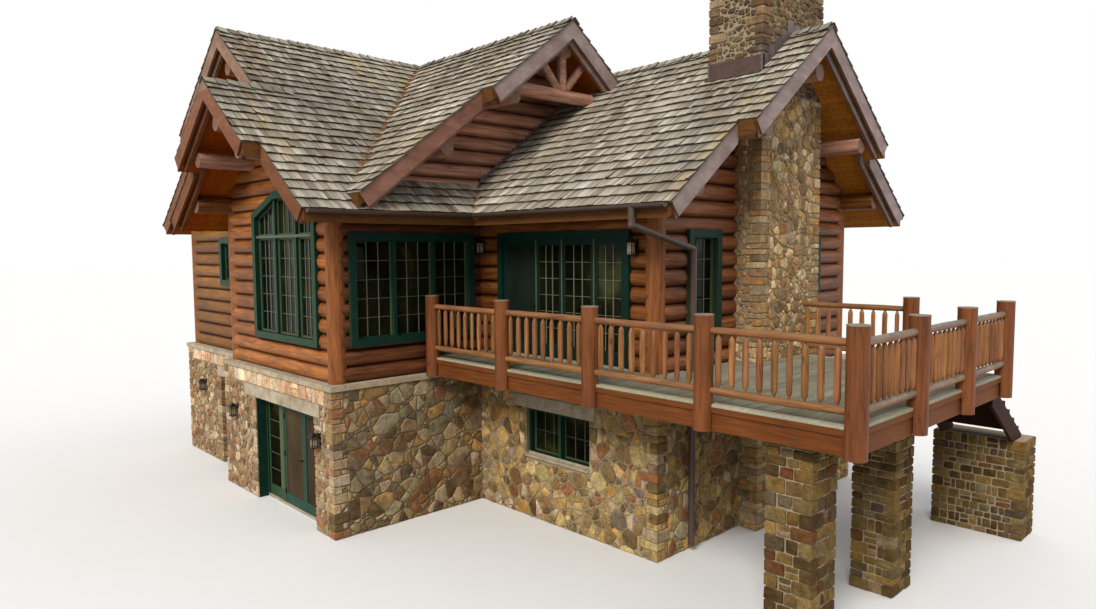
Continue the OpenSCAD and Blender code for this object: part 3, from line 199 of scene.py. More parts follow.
# ------------------------------------------------------------------ materials
class Mat:
    """A node material with short names for the nodes that the looks use."""

    def __init__(self, name, rough=0.7, spec=0.15, metallic=0.0):
        self.m = bpy.data.materials.new(name)
        self.m.use_nodes = True
        self.t = self.m.node_tree
        self.bsdf = self.t.nodes["Principled BSDF"]
        self.look(Roughness=rough, Specular_IOR_Level=spec, Metallic=metallic)
        self.coord = self.node("ShaderNodeTexCoord").outputs["Object"]

    def look(self, **values):
        for k, v in values.items():
            self.bsdf.inputs[k.replace("_", " ")].default_value = v

    def node(self, kind, **values):
        n = self.t.nodes.new(kind)
        for k, v in values.items():
            if hasattr(n, k) and k not in n.inputs:
                setattr(n, k, v)
            else:
                self.set(n.inputs[k], v)
        return n

    def set(self, socket, value):
        if isinstance(value, bpy.types.NodeSocket):
            self.t.links.new(value, socket)
        else:
            socket.default_value = value

    def mapped(self, scale):
        n = self.node("ShaderNodeMapping", Scale=scale)
        self.set(n.inputs["Vector"], self.coord)
        return n.outputs[0]

    def noise(self, scale, detail=4, rough=0.55, distortion=0.0, vec=None, w=None):
        n = self.node("ShaderNodeTexNoise")
        if w is not None:
            n.noise_dimensions = "4D"
            self.set(n.inputs["W"], w)
        for k, v in (("Scale", scale), ("Detail", detail), ("Roughness", rough), ("Distortion", distortion)):
            n.inputs[k].default_value = v
        self.set(n.inputs["Vector"], vec or self.coord)
        return n.outputs["Fac"]

    def ramp(self, fac, stops):
        n = self.node("ShaderNodeValToRGB")
        r = n.color_ramp
        while len(r.elements) < len(stops):
            r.elements.new(0.5)
        for e, (pos, col) in zip(r.elements, stops):
            if not isinstance(col, tuple):
                col = (col, col, col)
            e.position = pos
            e.color = (*col, 1)
        self.set(n.inputs["Fac"], fac)
        return n.outputs["Color"]

    def mix(self, a, b, fac, blend="MIX"):
        n = self.node("ShaderNodeMix", data_type="RGBA", blend_type=blend)
        self.set(n.inputs[0], fac)
        self.set(n.inputs[6], a if isinstance(a, bpy.types.NodeSocket) else (*a, 1))
        self.set(n.inputs[7], b if isinstance(b, bpy.types.NodeSocket) else (*b, 1))
        return n.outputs[2]

    def times(self, a, b, fac=1.0):
        return self.mix(a, b, fac, "MULTIPLY")

    def math(self, op, a, b=0.0, clamp=False):
        n = self.node("ShaderNodeMath", operation=op, use_clamp=clamp)
        self.set(n.inputs[0], a)
        self.set(n.inputs[1], b)
        return n.outputs[0]

    def mul(self, a, b):
        return self.math("MULTIPLY", a, b)

    def add(self, a, b, clamp=False):
        return self.math("ADD", a, b, clamp)

    def div(self, a, b):
        return self.math("DIVIDE", a, b)

    def inv(self, a):
        """1 minus a value."""
        return self.math("SUBTRACT", 1.0, a)

    def abs(self, a):
        return self.math("ABSOLUTE", a)

    def floor(self, a):
        return self.math("FLOOR", a)

    def joint(self, p):
        """0 in the middle of each whole step of p, as of a course or a board, and 0.5 at its joints."""
        return self.abs(self.math("SUBTRACT", self.math("FRACT", p), 0.5))

    def range(self, v, a, b, c=0.0, d=1.0):
        n = self.node("ShaderNodeMapRange")
        self.set(n.inputs["Value"], v)
        for k, x in (("From Min", a), ("From Max", b), ("To Min", c), ("To Max", d)):
            n.inputs[k].default_value = x
        return n.outputs[0]

    def xyz(self, vec=None):
        n = self.node("ShaderNodeSeparateXYZ")
        self.set(n.inputs[0], vec or self.coord)
        return n.outputs

    def normal(self):
        return self.xyz(self.node("ShaderNodeNewGeometry").outputs["Normal"])

    def over(self, v, limit, soft=0.02):
        """1 where v is over the limit."""
        return self.range(v, limit - soft, limit + soft)

    def tone(self):
        n = self.node("ShaderNodeAttribute", attribute_name="tone")
        self.seed = n.outputs["Alpha"]
        return n.outputs["Color"]

    def white(self, value):
        n = self.node("ShaderNodeTexWhiteNoise", noise_dimensions="1D")
        self.set(n.inputs["W"], value)
        return n.outputs["Value"]

    def cracks(self, stretch, scale, width, depth):
        v = self.node("ShaderNodeTexVoronoi", feature="DISTANCE_TO_EDGE")
        v.inputs["Scale"].default_value = scale
        self.set(v.inputs["Vector"], self.mapped(stretch))
        return self.ramp(v.outputs["Distance"], [(0.0, depth), (width, 1.0)])

    def bump(self, height, distance, strength=1.0):
        n = self.node("ShaderNodeBump")
        n.inputs["Strength"].default_value = strength
        n.inputs["Distance"].default_value = distance
        self.set(n.inputs["Height"], height)
        return n.outputs[0]

    def done(self, color, normal=None, rough=None):
        self.set(self.bsdf.inputs["Base Color"], color)
        if normal is not None:
            self.set(self.bsdf.inputs["Normal"], normal)
        if rough is not None:
            self.set(self.bsdf.inputs["Roughness"], rough)
        return self.m


LOG_ROUGH = 0.48


def along(axis, across, length):
    s = [across] * 3
    s["xyz".index(axis)] = length
    return s


def log_grain(m, axis, stops):
    """Peeled log: soft long grain, fine fibres, a few long checks and small knots."""
    g = m.noise(2.2, 5, 0.6, 0.3, m.mapped(along(axis, 8.0, 0.7)))
    f = m.noise(2.0, 4, 0.65, 0.0, m.mapped(along(axis, 60.0, 2.0)))
    color = m.ramp(g, [(0.28, stops[0]), (0.5, stops[1]), (0.74, stops[2])])
    color = m.times(color, m.ramp(f, [(0.3, 0.80), (0.68, 1.12)]), 0.75)
    color = m.times(color, m.cracks(along(axis, 16.0, 0.8), 0.5, 0.022, (0.32, 0.27, 0.25)), 0.6)
    k = m.node("ShaderNodeTexVoronoi")
    k.inputs["Scale"].default_value = 1.0
    m.set(k.inputs["Vector"], m.mapped(along(axis, 3.4, 1.5)))
    color = m.times(color, m.ramp(k.outputs["Distance"], [(0.045, (0.30, 0.24, 0.20)), (0.10, 1.0)]), 0.75)
    return color, m.add(m.mul(f, 0.4), g)


def end_grain(m, color, mask):
    """Sawn log ends: pale, weathered, with a few radial checks."""
    n = m.noise(34.0, 4, 0.6, 0.4)
    pale = m.ramp(n, [(0.3, (0.150, 0.080, 0.052)), (0.55, (0.245, 0.145, 0.100)),
                      (0.75, (0.33, 0.215, 0.155))])
    pale = m.times(pale, m.cracks((5.0, 5.0, 5.0), 1.0, 0.035, (0.35, 0.3, 0.27)), 0.7)
    return m.mix(color, pale, mask)


def log_mat(name, axis, stops, wall=None, ends=False, groove_shade=0.35):
    """wall numbers a stack of courses, so that each course has its own tone, and painted shade darkens the
    groove where it meets the next course.
    """
    m = Mat(name, LOG_ROUGH, 0.2)
    m.look(Coat_Weight=0.06, Coat_Roughness=0.28)
    color, h = log_grain(m, axis, stops)
    color = m.times(color, m.ramp(m.noise(0.7, 3, 0.5),
                                  [(0.35, (0.80, 0.78, 0.76)), (0.65, (1.14, 1.10, 1.04))]), 0.85)
    if wall is not None:
        z = m.xyz()[2]
        course = m.div(m.math("SUBTRACT", z, LEDGE_Z), LOG_PITCH)
        w = m.white(m.add(m.floor(course), wall))
        color = m.times(color, m.ramp(w, [(0, (0.66, 0.58, 0.54)), (0.5, (1, 0.98, 0.96)),
                                          (1, (1.36, 1.32, 1.22))]), 0.85)
        # Painted shade: each course darkens towards its joints, in the groove between two logs.
        edge = m.joint(course)
        color = m.times(color, m.ramp(edge, [(groove_shade, 1.0), (0.44, (0.42, 0.35, 0.32)),
                                             (0.485, (0.10, 0.08, 0.07))]), 0.95)
    if ends:
        nrm = m.normal()["xyz".index(axis)]
        color = end_grain(m, color, m.over(m.abs(nrm), 0.8))
    return m.done(color, m.bump(h, 0.007, 0.55), m.range(h, 0.4, 0.95, LOG_ROUGH - 0.06, LOG_ROUGH + 0.16))


GOLD = ((0.150, 0.048, 0.010), (0.345, 0.122, 0.026), (0.520, 0.215, 0.052))
TAWNY = ((0.105, 0.038, 0.005), (0.230, 0.092, 0.010), (0.350, 0.165, 0.021))
WINE = ((0.095, 0.031, 0.013), (0.228, 0.084, 0.033), (0.365, 0.157, 0.063))
RED = ((0.085, 0.027, 0.007), (0.205, 0.072, 0.018), (0.330, 0.134, 0.035))
# The red logs at about half their brightness: painted shade, for the logs of the south wall.
RED_PAINTED_SHADE = ((0.045, 0.014, 0.006), (0.108, 0.037, 0.015), (0.180, 0.070, 0.029))
RUSSET = ((0.224, 0.102, 0.070), (0.434, 0.225, 0.160), (0.616, 0.360, 0.264))
POST = ((0.129, 0.041, 0.013), (0.264, 0.090, 0.024), (0.370, 0.142, 0.042))
LOGS_SOUTH = log_mat("logs_south", "x", RED_PAINTED_SHADE, wall=3.3)
LOGS_WING_SOUTH = log_mat("logs_wing_south", "x", WINE, wall=17.3, groove_shade=0.28)
LOGS_GABLE = log_mat("logs_gable", "x", RUSSET, wall=31.3, groove_shade=0.20)
LOGS_NORTH = log_mat("logs_north", "x", GOLD, wall=45.3)
LOGS_BAY = log_mat("logs_bay", "y", GOLD, wall=59.3)
LOGS_WEST = log_mat("logs_west", "y", TAWNY, wall=73.3)
LOGS_WING_WEST = log_mat("logs_wing_west", "y", RED, wall=87.3)
LOGS_EAST = log_mat("logs_east", "y", GOLD, wall=101.3)
POST_LOG = log_mat("corner_post_log", "z", POST, ends=True)
TRUSS_LOG = log_mat("truss_log", "x", RUSSET, ends=True)
DECK_POST_LOG = log_mat("deck_post_log", "z", ((0.105, 0.032, 0.010), (0.185, 0.060, 0.018),
                                               (0.240, 0.085, 0.026)))


def two_way_log(name, pick_y, stops):
    """Logs that run both ways in one node: along y where pick_y says so, else along x."""
    m = Mat(name, 0.5, 0.2)
    m.look(Coat_Weight=0.05, Coat_Roughness=0.3)
    cx, hx = log_grain(m, "x", stops)
    cy, hy = log_grain(m, "y", stops)
    runs_y = pick_y(m)
    color = m.mix(cx, cy, runs_y)
    nx, ny, _ = m.normal()
    ends = m.add(m.mul(m.over(m.abs(ny), 0.85), runs_y),
                  m.mul(m.over(m.abs(nx), 0.85), m.inv(runs_y)), clamp=True)
    color = end_grain(m, color, ends)
    return m.done(color, m.bump(m.add(hx, hy), 0.004, 0.5))


PURLIN_LOG = two_way_log("purlin_log", lambda m: m.inv(m.over(m.xyz()[1], 0.31)), RUSSET)
PLATE_LOG = two_way_log("plate_log", lambda m: m.math("MAXIMUM", m.inv(m.over(m.xyz()[1], -0.166)),
                                                      m.mul(m.over(m.xyz()[0], 9.44),
                                                            m.inv(m.over(m.xyz()[1], 0.1)))), RED)


def sawn(name, dark, mid, light, axis="x", rough=0.62, plank=None, use_tone=False):
    """Sawn and stained board; plank = (axis, width) draws joints."""
    m = Mat(name, rough, 0.12)
    color_tone = m.tone() if use_tone else None
    g = m.noise(2.2, 6, 0.62, 0.4, m.mapped(along(axis, 16.0, 0.8)))
    f = m.noise(2.0, 3, 0.6, 0.0, m.mapped(along(axis, 90.0, 3.0)))
    color = m.ramp(g, [(0.3, dark), (0.52, mid), (0.72, light)])
    color = m.times(color, m.ramp(m.noise(1.3, 3, 0.55),
                                  [(0.3, (0.82, 0.82, 0.82)), (0.7, (1.12, 1.10, 1.07))]), 0.8)
    color = m.times(color, m.ramp(f, [(0.3, 0.84), (0.7, 1.1)]), 0.7)
    if plank:
        p = m.div(m.xyz()["xyz".index(plank[0])], plank[1])
        edge = m.joint(p)
        color = m.times(color, m.ramp(edge, [(0.47, 1.0), (0.49, 0.3)]), 0.9)
        color = m.times(color, m.ramp(m.white(m.floor(p)), [(0, 0.80), (1, 1.14)]), 0.7)
    if use_tone:
        color = m.times(color, color_tone)
    return m.done(color, m.bump(m.add(g, m.mul(f, 0.4)), 0.003, 0.6))


def make_barge():
    """Barge boards: mauve-brown stain, redder low on the middle gable, tan where they face west."""
    m = Mat("barge_board", 0.6, 0.15)
    g = m.noise(1.6, 4, 0.55, 0.3, m.mapped((1.6, 1.6, 3.0)))
    f = m.noise(26.0, 4, 0.65)
    color = m.ramp(g, [(0.3, (0.220, 0.156, 0.145)), (0.52, (0.303, 0.225, 0.212)),
                       (0.72, (0.390, 0.305, 0.288))])
    nx, _, nz = m.normal()
    x, y, z = m.xyz()
    low = m.mul(m.inv(m.over(z, 8.05)), m.over(y, -1.25))
    color = m.times(color, (0.80, 0.52, 0.38), low)
    west = m.over(m.mul(nx, -1.0), 0.6)
    bay_low = m.mul(m.inv(m.over(x, -0.2)), m.inv(m.over(z, 7.0, 0.5)))
    color = m.times(color, (0.92, 0.70, 0.47), m.mul(west, 0.9))
    color = m.times(color, (0.80, 0.72, 0.50), bay_low)
    # Faces that look down are darker: painted shade.
    under = m.over(m.mul(nz, -1.0), 0.3)
    color = m.times(color, (0.75, 0.55, 0.40), under)
    color = m.times(color, m.ramp(f, [(0.3, 0.90), (0.7, 1.07)]), 0.6)
    return m.done(color, m.bump(m.add(g, f), 0.0015, 0.4))


def make_slab():
    """Roof slabs: orange-brown soffit boards below, stained boards on the edges."""
    m = Mat("roof_soffit", 0.6, 0.08)
    nx, _, nz = m.normal()
    x, y, _ = m.xyz()
    g = m.noise(2.0, 5, 0.6, 0.4, m.mapped((9.0, 9.0, 9.0)))
    color = m.ramp(g, [(0.3, (0.240, 0.058, 0.002)), (0.52, (0.364, 0.094, 0.004)),
                       (0.74, (0.481, 0.140, 0.006))])
    # Boards lie across the rafters: along x under the south and north slopes, else along y
    ew = m.over(m.abs(nx), 0.35)
    p = m.mix(y, x, ew)
    p = m.div(m.node("ShaderNodeSeparateColor", Color=p).outputs[0], 0.115)
    edge = m.joint(p)
    color = m.times(color, m.ramp(edge, [(0.45, 1.0), (0.49, (0.45, 0.38, 0.34))]), 0.7)
    color = m.times(color, m.ramp(m.white(m.floor(p)), [(0, 0.82), (1, 1.15)]), 0.6)
    # Painted light: the soffit boards under the wing's south end, south of y -4.3, are made several times
    # brighter, and bluer.
    color = m.mix(color, m.times(color, (1.5, 2.3, 8.0)), m.inv(m.over(y, -4.3, 0.1)))
    color = m.times(color, (0.95, 0.72, 0.25), m.inv(m.over(x, -0.35, 0.05)))
    side = m.inv(m.over(m.abs(nz), 0.3))
    n2 = m.noise(3.0, 5, 0.6, 0.2, m.mapped((2.0, 2.0, 14.0)))
    trim = m.ramp(n2, [(0.3, (0.085, 0.034, 0.010)), (0.7, (0.156, 0.065, 0.020))])
    return m.done(m.mix(color, trim, side), m.bump(g, 0.003, 0.5))


BARGE, SLAB = make_barge(), make_slab()
DECK_BOARD = sawn("deck_board", (0.165, 0.158, 0.112), (0.245, 0.235, 0.170), (0.325, 0.310, 0.235),
                  rough=0.78, use_tone=True)
DECK_RIM = sawn("deck_rim_board", (0.112, 0.033, 0.008), (0.165, 0.052, 0.013), (0.215, 0.074, 0.020),
                axis="y", rough=0.6)
DECK_FRAME = sawn("deck_joist", (0.085, 0.045, 0.026), (0.135, 0.074, 0.042), (0.18, 0.105, 0.062),
                  axis="y", rough=0.8)
# Stair wood near black: painted shade, for a stair that stands in shadow.
STAIR_WOOD_PAINTED_SHADE = sawn("stair_board", (0.022, 0.006, 0.002), (0.034, 0.009, 0.004), (0.046, 0.014, 0.006),
                  axis="x", rough=0.7)
FLOOR = sawn("floor_board", (0.25, 0.15, 0.08), (0.36, 0.23, 0.13), (0.46, 0.31, 0.19), plank=("y", 0.12))


def make_rail(axis):
    m = Mat("rail_log_" + axis, 0.5, 0.2)
    m.look(Coat_Weight=0.05)
    tone = m.tone()
    color, h = log_grain(m, axis, ((0.150, 0.057, 0.020), (0.285, 0.120, 0.042), (0.400, 0.190, 0.073)))
    color = m.times(color, tone)
    # Sun-bleached on top
    nz = m.normal()[2]
    grey = m.ramp(m.noise(5.0, 4, 0.6), [(0.3, (0.111, 0.092, 0.070)), (0.7, (0.212, 0.185, 0.149))])
    color = m.mix(color, grey, m.range(nz, -0.3 if axis == "x" else 0.1, 0.6, 0.0, 0.90 if axis == "x"
                                       else 0.22))
    return m.done(color, m.bump(h, 0.005, 0.6))


RAIL = {a: make_rail(a) for a in "xyz"}


def make_shake(name, across, up):
    m = Mat(name, 0.9, 0.06)
    tone = m.tone()
    w = m.mul(m.seed, 60.0)
    s = [0.0, 0.0, 0.0]
    s["xyz".index(across)], s["xyz".index(up)] = 42.0, 1.6
    streak = m.noise(1.0, 4, 0.62, 0.25, m.mapped(s), w)
    fine = m.noise(2.6, 3, 0.6, 0.0, m.mapped(s), w)
    color = m.times(tone, m.ramp(streak, [(0.24, (0.46, 0.43, 0.39)), (0.5, 0.98),
                                          (0.78, (1.42, 1.40, 1.36))]), 0.9)
    color = m.times(color, m.ramp(fine, [(0.3, 0.74), (0.7, 1.22)]), 0.8)
    patch = m.noise(0.75, 4, 0.6)
    color = m.times(color, m.ramp(patch, [(0.36, (0.84, 0.80, 0.75)), (0.64, (1.10, 1.09, 1.07))]), 0.8)
    h = m.add(streak, m.mul(fine, 0.7))
    return m.done(color, m.bump(h, 0.010, 0.9))


SHAKE_NS = make_shake("cedar_shake_south_north", "x", "y")
SHAKE_EW = make_shake("cedar_shake_east_west", "y", "x")


def make_stone():
    m = Mat("rubble_stone", 0.86, 0.10)
    tone = m.tone()
    w = m.mul(m.seed, 40.0)
    n1 = m.noise(6.0, 6, 0.66, 0.4, None, w)
    n2 = m.noise(26.0, 5, 0.62, 0.0, None, w)
    n3 = m.noise(2.2, 3, 0.5, 0.0, None, w)
    color = m.times(tone, m.ramp(n1, [(0.28, (0.44, 0.39, 0.35)), (0.5, (0.98, 0.97, 0.95)),
                                      (0.74, (1.55, 1.50, 1.44))]), 0.95)
    color = m.times(color, m.ramp(n2, [(0.3, (0.60, 0.57, 0.55)), (0.7, (1.30, 1.29, 1.28))]), 0.85)
    color = m.times(color, m.ramp(n3, [(0.35, (1.14, 0.95, 0.76)), (0.65, (0.94, 1.0, 1.10))]), 0.85)
    h = m.add(n1, m.mul(n2, 0.45))
    return m.done(color, m.bump(h, 0.026, 0.9))


def make_mortar():
    """Grey-tan on the south walls, paler on the faces to the west and on the chimney."""
    m = Mat("mortar", 0.95, 0.05)
    n = m.noise(30.0, 5, 0.6)
    color = m.ramp(n, [(0.3, (0.165, 0.132, 0.085)), (0.7, (0.270, 0.225, 0.155))])
    pale = m.ramp(n, [(0.3, (0.27, 0.215, 0.135)), (0.7, (0.40, 0.325, 0.220))])
    west = m.over(m.mul(m.normal()[0], -1.0), 0.5)
    stack = m.inv(m.over(m.xyz()[1], -4.79, 0.005))
    light = m.math("MAXIMUM", west, stack)
    return m.done(m.mix(color, pale, light), m.bump(n, 0.008, 0.7))


def make_cut_stone():
    """Sawn pale limestone, in lengths with fine joints."""
    m = Mat("sawn_limestone", 0.85, 0.1)
    n = m.noise(4.0, 6, 0.64, 0.3)
    f = m.noise(34.0, 4, 0.62)
    color = m.ramp(n, [(0.3, (0.34, 0.272, 0.180)), (0.52, (0.49, 0.415, 0.30)), (0.75, (0.60, 0.53, 0.41))])
    color = m.times(color, m.ramp(f, [(0.32, 0.80), (0.7, 1.12)]), 0.75)
    nx, ny, _ = m.normal()
    color = m.times(color, (0.98, 0.94, 0.87), m.over(m.mul(ny, -1.0), 0.6))
    x, y, z = m.xyz()
    p = m.node("ShaderNodeSeparateColor", Color=m.mix(x, y, m.over(m.abs(nx), 0.5))).outputs[0]
    p = m.div(p, 0.93)
    edge = m.joint(p)
    joint = m.mul(m.over(edge, 0.4945, 0.002), m.over(z, LEDGE_UNDER, 0.004))
    color = m.times(color, (0.45, 0.40, 0.34), joint)
    color = m.times(color, m.ramp(m.white(m.floor(p)), [(0, 0.84), (1, 1.12)]), 0.7)
    h = m.add(n, m.mul(f, 0.4))
    return m.done(color, m.bump(h, 0.016, 0.85))


STONE, MORTAR, CUT_STONE = make_stone(), make_mortar(), make_cut_stone()


def painted(name, base, rough=0.45, spec=0.22, metallic=0.0, wear=0.12, west=None, up=None, foot=None):
    m = Mat(name, rough, spec, metallic)
    n = m.noise(6.0, 5, 0.6)
    f = m.noise(60.0, 3, 0.6)
    lo = tuple(c * (1 - wear) for c in base)
    hi = tuple(min(1, c * (1 + wear) + 0.004) for c in base)
    color = m.ramp(n, [(0.3, lo), (0.7, hi)])
    # Painted light: faces to the west get the lighter west colour.
    if west:
        color = m.mix(color, west, m.over(m.mul(m.normal()[0], -1.0), 0.6))
    # Painted highlight: faces that look up get the lighter up colour.
    if up:
        color = m.mix(color, up, m.over(m.normal()[2], 0.7))
    if foot:
        pale = m.ramp(n, [(0.3, (0.33, 0.28, 0.20)), (0.7, (0.47, 0.41, 0.31))])
        color = m.mix(pale, color, m.over(m.xyz()[2], foot, 0.002))
    return m.done(color, m.bump(f, 0.0015, 0.5), m.range(n, 0.3, 0.7, rough - 0.07, rough + 0.1))


# The west colours below are painted light on the faces to the west.
GREEN = painted("green_paint", (0.0035, 0.029, 0.019), 0.48, 0.12, west=(0.022, 0.052, 0.026))
DOOR_GREEN = painted("door_frame_green", (0.003, 0.023, 0.015), 0.48, 0.12, west=(0.034, 0.072, 0.034),
                     foot=0.0605)
DECK_GREEN = painted("deck_door_green", (0.003, 0.021, 0.014), 0.48, 0.10, foot=3.1165)
GREEN_BAR = painted("green_sash", (0.006, 0.038, 0.024), 0.48, 0.12, west=(0.100, 0.118, 0.052))
PALE_BAR = painted("pane_bar", (0.120, 0.140, 0.092), 0.5, west=(0.150, 0.175, 0.110))
TRANSOM = painted("bay_transom", (0.070, 0.115, 0.075), 0.45)
# The gutter's up colour is a painted highlight along its top.
GUTTER = painted("gutter_brown", (0.082, 0.053, 0.042), 0.42, 0.3, 0.1, up=(0.17, 0.135, 0.105))
BRONZE = painted("dark_bronze", (0.026, 0.019, 0.014), 0.42, 0.5, 0.7)
BLACK = painted("black_iron", (0.012, 0.011, 0.010), 0.4, 0.5, 0.4)
FLASHING = painted("flashing", (0.085, 0.046, 0.034), 0.45, 0.5, 0.3, wear=0.3)
LEAD = painted("grey_flashing", (0.125, 0.100, 0.100), 0.55, 0.4, 0.4, wear=0.25)
CAP_METAL = painted("post_top", (0.235, 0.185, 0.140), 0.6, 0.3, wear=0.25)
SILL = painted("pale_sill", (0.42, 0.36, 0.28), 0.7, 0.3, wear=0.2)
DEBRIS = Mat("rusty_needles", 0.95, 0.1)
DEBRIS = DEBRIS.done(DEBRIS.times(DEBRIS.tone(), DEBRIS.ramp(DEBRIS.noise(40.0, 3, 0.6),
                                                             [(0.3, 0.6), (0.7, 1.3)])),
                     DEBRIS.bump(DEBRIS.noise(60.0, 3, 0.6), 0.004))


def make_glass():
    m = Mat("window_glass", 0.03, 0.18)
    n = m.noise(0.9, 4, 0.6, 0.5)
    # The lighter brownish and greenish patches are painted reflections in the dark glass.
    color = m.ramp(n, [(0.35, (0.003, 0.003, 0.002)), (0.55, (0.014, 0.014, 0.006)),
                       (0.72, (0.060, 0.066, 0.016))])
    m.look(IOR=1.3, Alpha=0.93)
    return m.done(color, m.bump(m.noise(0.9, 2, 0.5), 0.006, 0.4))


def make_screen():
    m = Mat("dark_screen", 0.75, 0.06)
    w = m.noise(300.0, 1, 0.5)
    b = m.noise(1.6, 4, 0.6, 0.3, m.mapped((1.0, 1.0, 0.45)))
    color = m.ramp(b, [(0.35, (0.007, 0.012, 0.009)), (0.65, (0.016, 0.024, 0.018))])
    color = m.times(color, m.ramp(w, [(0.35, 0.72), (0.65, 1.2)]))
    m.look(Alpha=0.85)
    return m.done(color, m.bump(w, 0.0008, 0.5))


def make_lamp_glass():
    m = Mat("lantern_glass", 0.25, 0.45)
    n = m.noise(9.0, 4, 0.6)
    return m.done(m.ramp(n, [(0.3, (0.30, 0.245, 0.155)), (0.7, (0.50, 0.43, 0.30))]), m.bump(n, 0.002, 0.4))


GLASS, LAMP_GLASS, DARK_SCREEN = make_glass(), make_lamp_glass(), make_screen()


LEAF_LO, LEAF_HI = 0.268, 0.068 + 2.12 - 0.055 - 0.06 - 0.016 - 0.08
LEAF_STILE = 0.07
IRON_PROUD = 0.0015


def leaf_paint(name, y0, y1, face, shade):
    """A screen leaf from y0 to y1: green frame, brown mesh inside it, iron hinges and handle. shade scales
    the mesh per leaf: painted shade.
    """
    m = Mat(name, 0.65, 0.1)
    x, y, z = m.xyz()
    n = m.noise(6.0, 5, 0.6)
    green = m.ramp(n, [(0.3, (0.022, 0.062, 0.043)), (0.7, (0.034, 0.088, 0.062))])
    b = m.noise(1.6, 4, 0.6, 0.3, m.mapped((1.0, 1.0, 0.45)))
    mesh = m.times(m.ramp(b, [(0.35, (0.046, 0.027, 0.012)), (0.65, (0.092, 0.060, 0.028))]), shade)
    mesh = m.times(mesh, m.ramp(m.noise(300.0, 1, 0.5), [(0.35, 0.72), (0.65, 1.2)]))
    inside = m.mul(m.mul(m.over(y, y0 + LEAF_STILE, 0.001), m.inv(m.over(y, y1 - LEAF_STILE, 0.001))),
                   m.mul(m.over(z, LEAF_LO, 0.001), m.inv(m.over(z, LEAF_HI, 0.001))))
    color = m.mix(green, mesh, inside)
    color = m.mix(color, (0.013, 0.011, 0.010), m.inv(m.over(x, face - IRON_PROUD, 0.0004)))
    return m.done(color, m.bump(n, 0.001, 0.4))


def dress(node, material):
    o = NODE[node]
    o.data.materials.clear()
    o.data.materials.append(material)


for names, mat in (
        ("basement_cross_walls basement_long_walls basement_door_heads", MORTAR),
        ("chimney deck_piers basement_floor", MORTAR),
        ("stone_ledge stone_lintels chimney_cap", CUT_STONE),
        ("roof_main_south roof_north_slopes roof_middle roof_wing_west roof_wing_east", SLAB),
        ("bay_window window_frames", GREEN), ("deck_doors", DECK_GREEN), ("door_frames", DOOR_GREEN),
        ("log_wall_south", LOGS_SOUTH), ("log_wall_wing_south", LOGS_WING_SOUTH),
        ("log_gable_middle", LOGS_GABLE),
        ("log_wall_north", LOGS_NORTH), ("log_wall_bay", LOGS_BAY), ("log_wall_west", LOGS_WEST),
        ("log_wall_wing_west", LOGS_WING_WEST), ("log_wall_east", LOGS_EAST), ("corner_posts", POST_LOG),
        ("wall_plates", PLATE_LOG), ("purlins", PURLIN_LOG), ("gable_truss", TRUSS_LOG),
        ("barge_boards", BARGE),
        ("gutters", GUTTER), ("window_glass", GLASS), ("main_floor", FLOOR), ("deck_rim", DECK_RIM),
        ("deck_joists", DECK_FRAME), ("deck_posts", DECK_POST_LOG), ("deck_post_caps", CAP_METAL),
        ("stair_stringers", STAIR_WOOD_PAINTED_SHADE), ("stair_treads", STAIR_WOOD_PAINTED_SHADE), ("lanterns", BRONZE),
        ("deck_boards", DECK_BOARD), ("deck_rails", RAIL["y"]),
        # The last numbers are painted shade on each leaf's mesh.
        ("patio_screen_south", leaf_paint("screen_south", 0.493, 1.3385, -0.035, (0.5, 0.52, 0.55))),
        ("patio_screen_north", leaf_paint("screen_north", 1.3465, 2.192, -0.035, (0.95, 0.95, 0.95))),
        ("side_door", leaf_paint("screen_side", 5.443, 6.217, 0.450, (0.35, 0.45, 0.60)))):
    for n in names.split():
        dress(n, mat)

# ------------------------------------------------------------------ roof shakes
EXPOSURE = 5.035 / 24
SHAKE_TONES = [(0.364, 0.332, 0.275), (0.315, 0.284, 0.231), (0.417, 0.390, 0.334), (0.339, 0.304, 0.246),
               (0.276, 0.243, 0.194), (0.475, 0.454, 0.403), (0.388, 0.347, 0.278), (0.335, 0.314, 0.270),
               (0.398, 0.371, 0.316), (0.242, 0.209, 0.164)]
LICHEN = (0.52, 0.385, 0.195)


def slope_frame(kind, edge):
    """A slope's own axes: a along the eave, d in plan up from the eave edge, h square to the slope."""
    up = {"S": (0, 1), "N": (0, -1), "W": (1, 0), "E": (-1, 0)}[kind]

    def place(a, d, h):
        if kind in "SN":
            x, y = a, edge + up[1] * d
        else:
            x, y = edge + up[0] * d, a
        z = EAVE_Z + d * SLOPE
        x, y = x - up[0] * SLOPE * h / SLOPE_LEN, y - up[1] * SLOPE * h / SLOPE_LEN
        # No shake reaches past the outermost barge boards
        return (min(max(x, cad_box[0][0]), cad_box[1][0]), y, z + h / SLOPE_LEN)

    return place


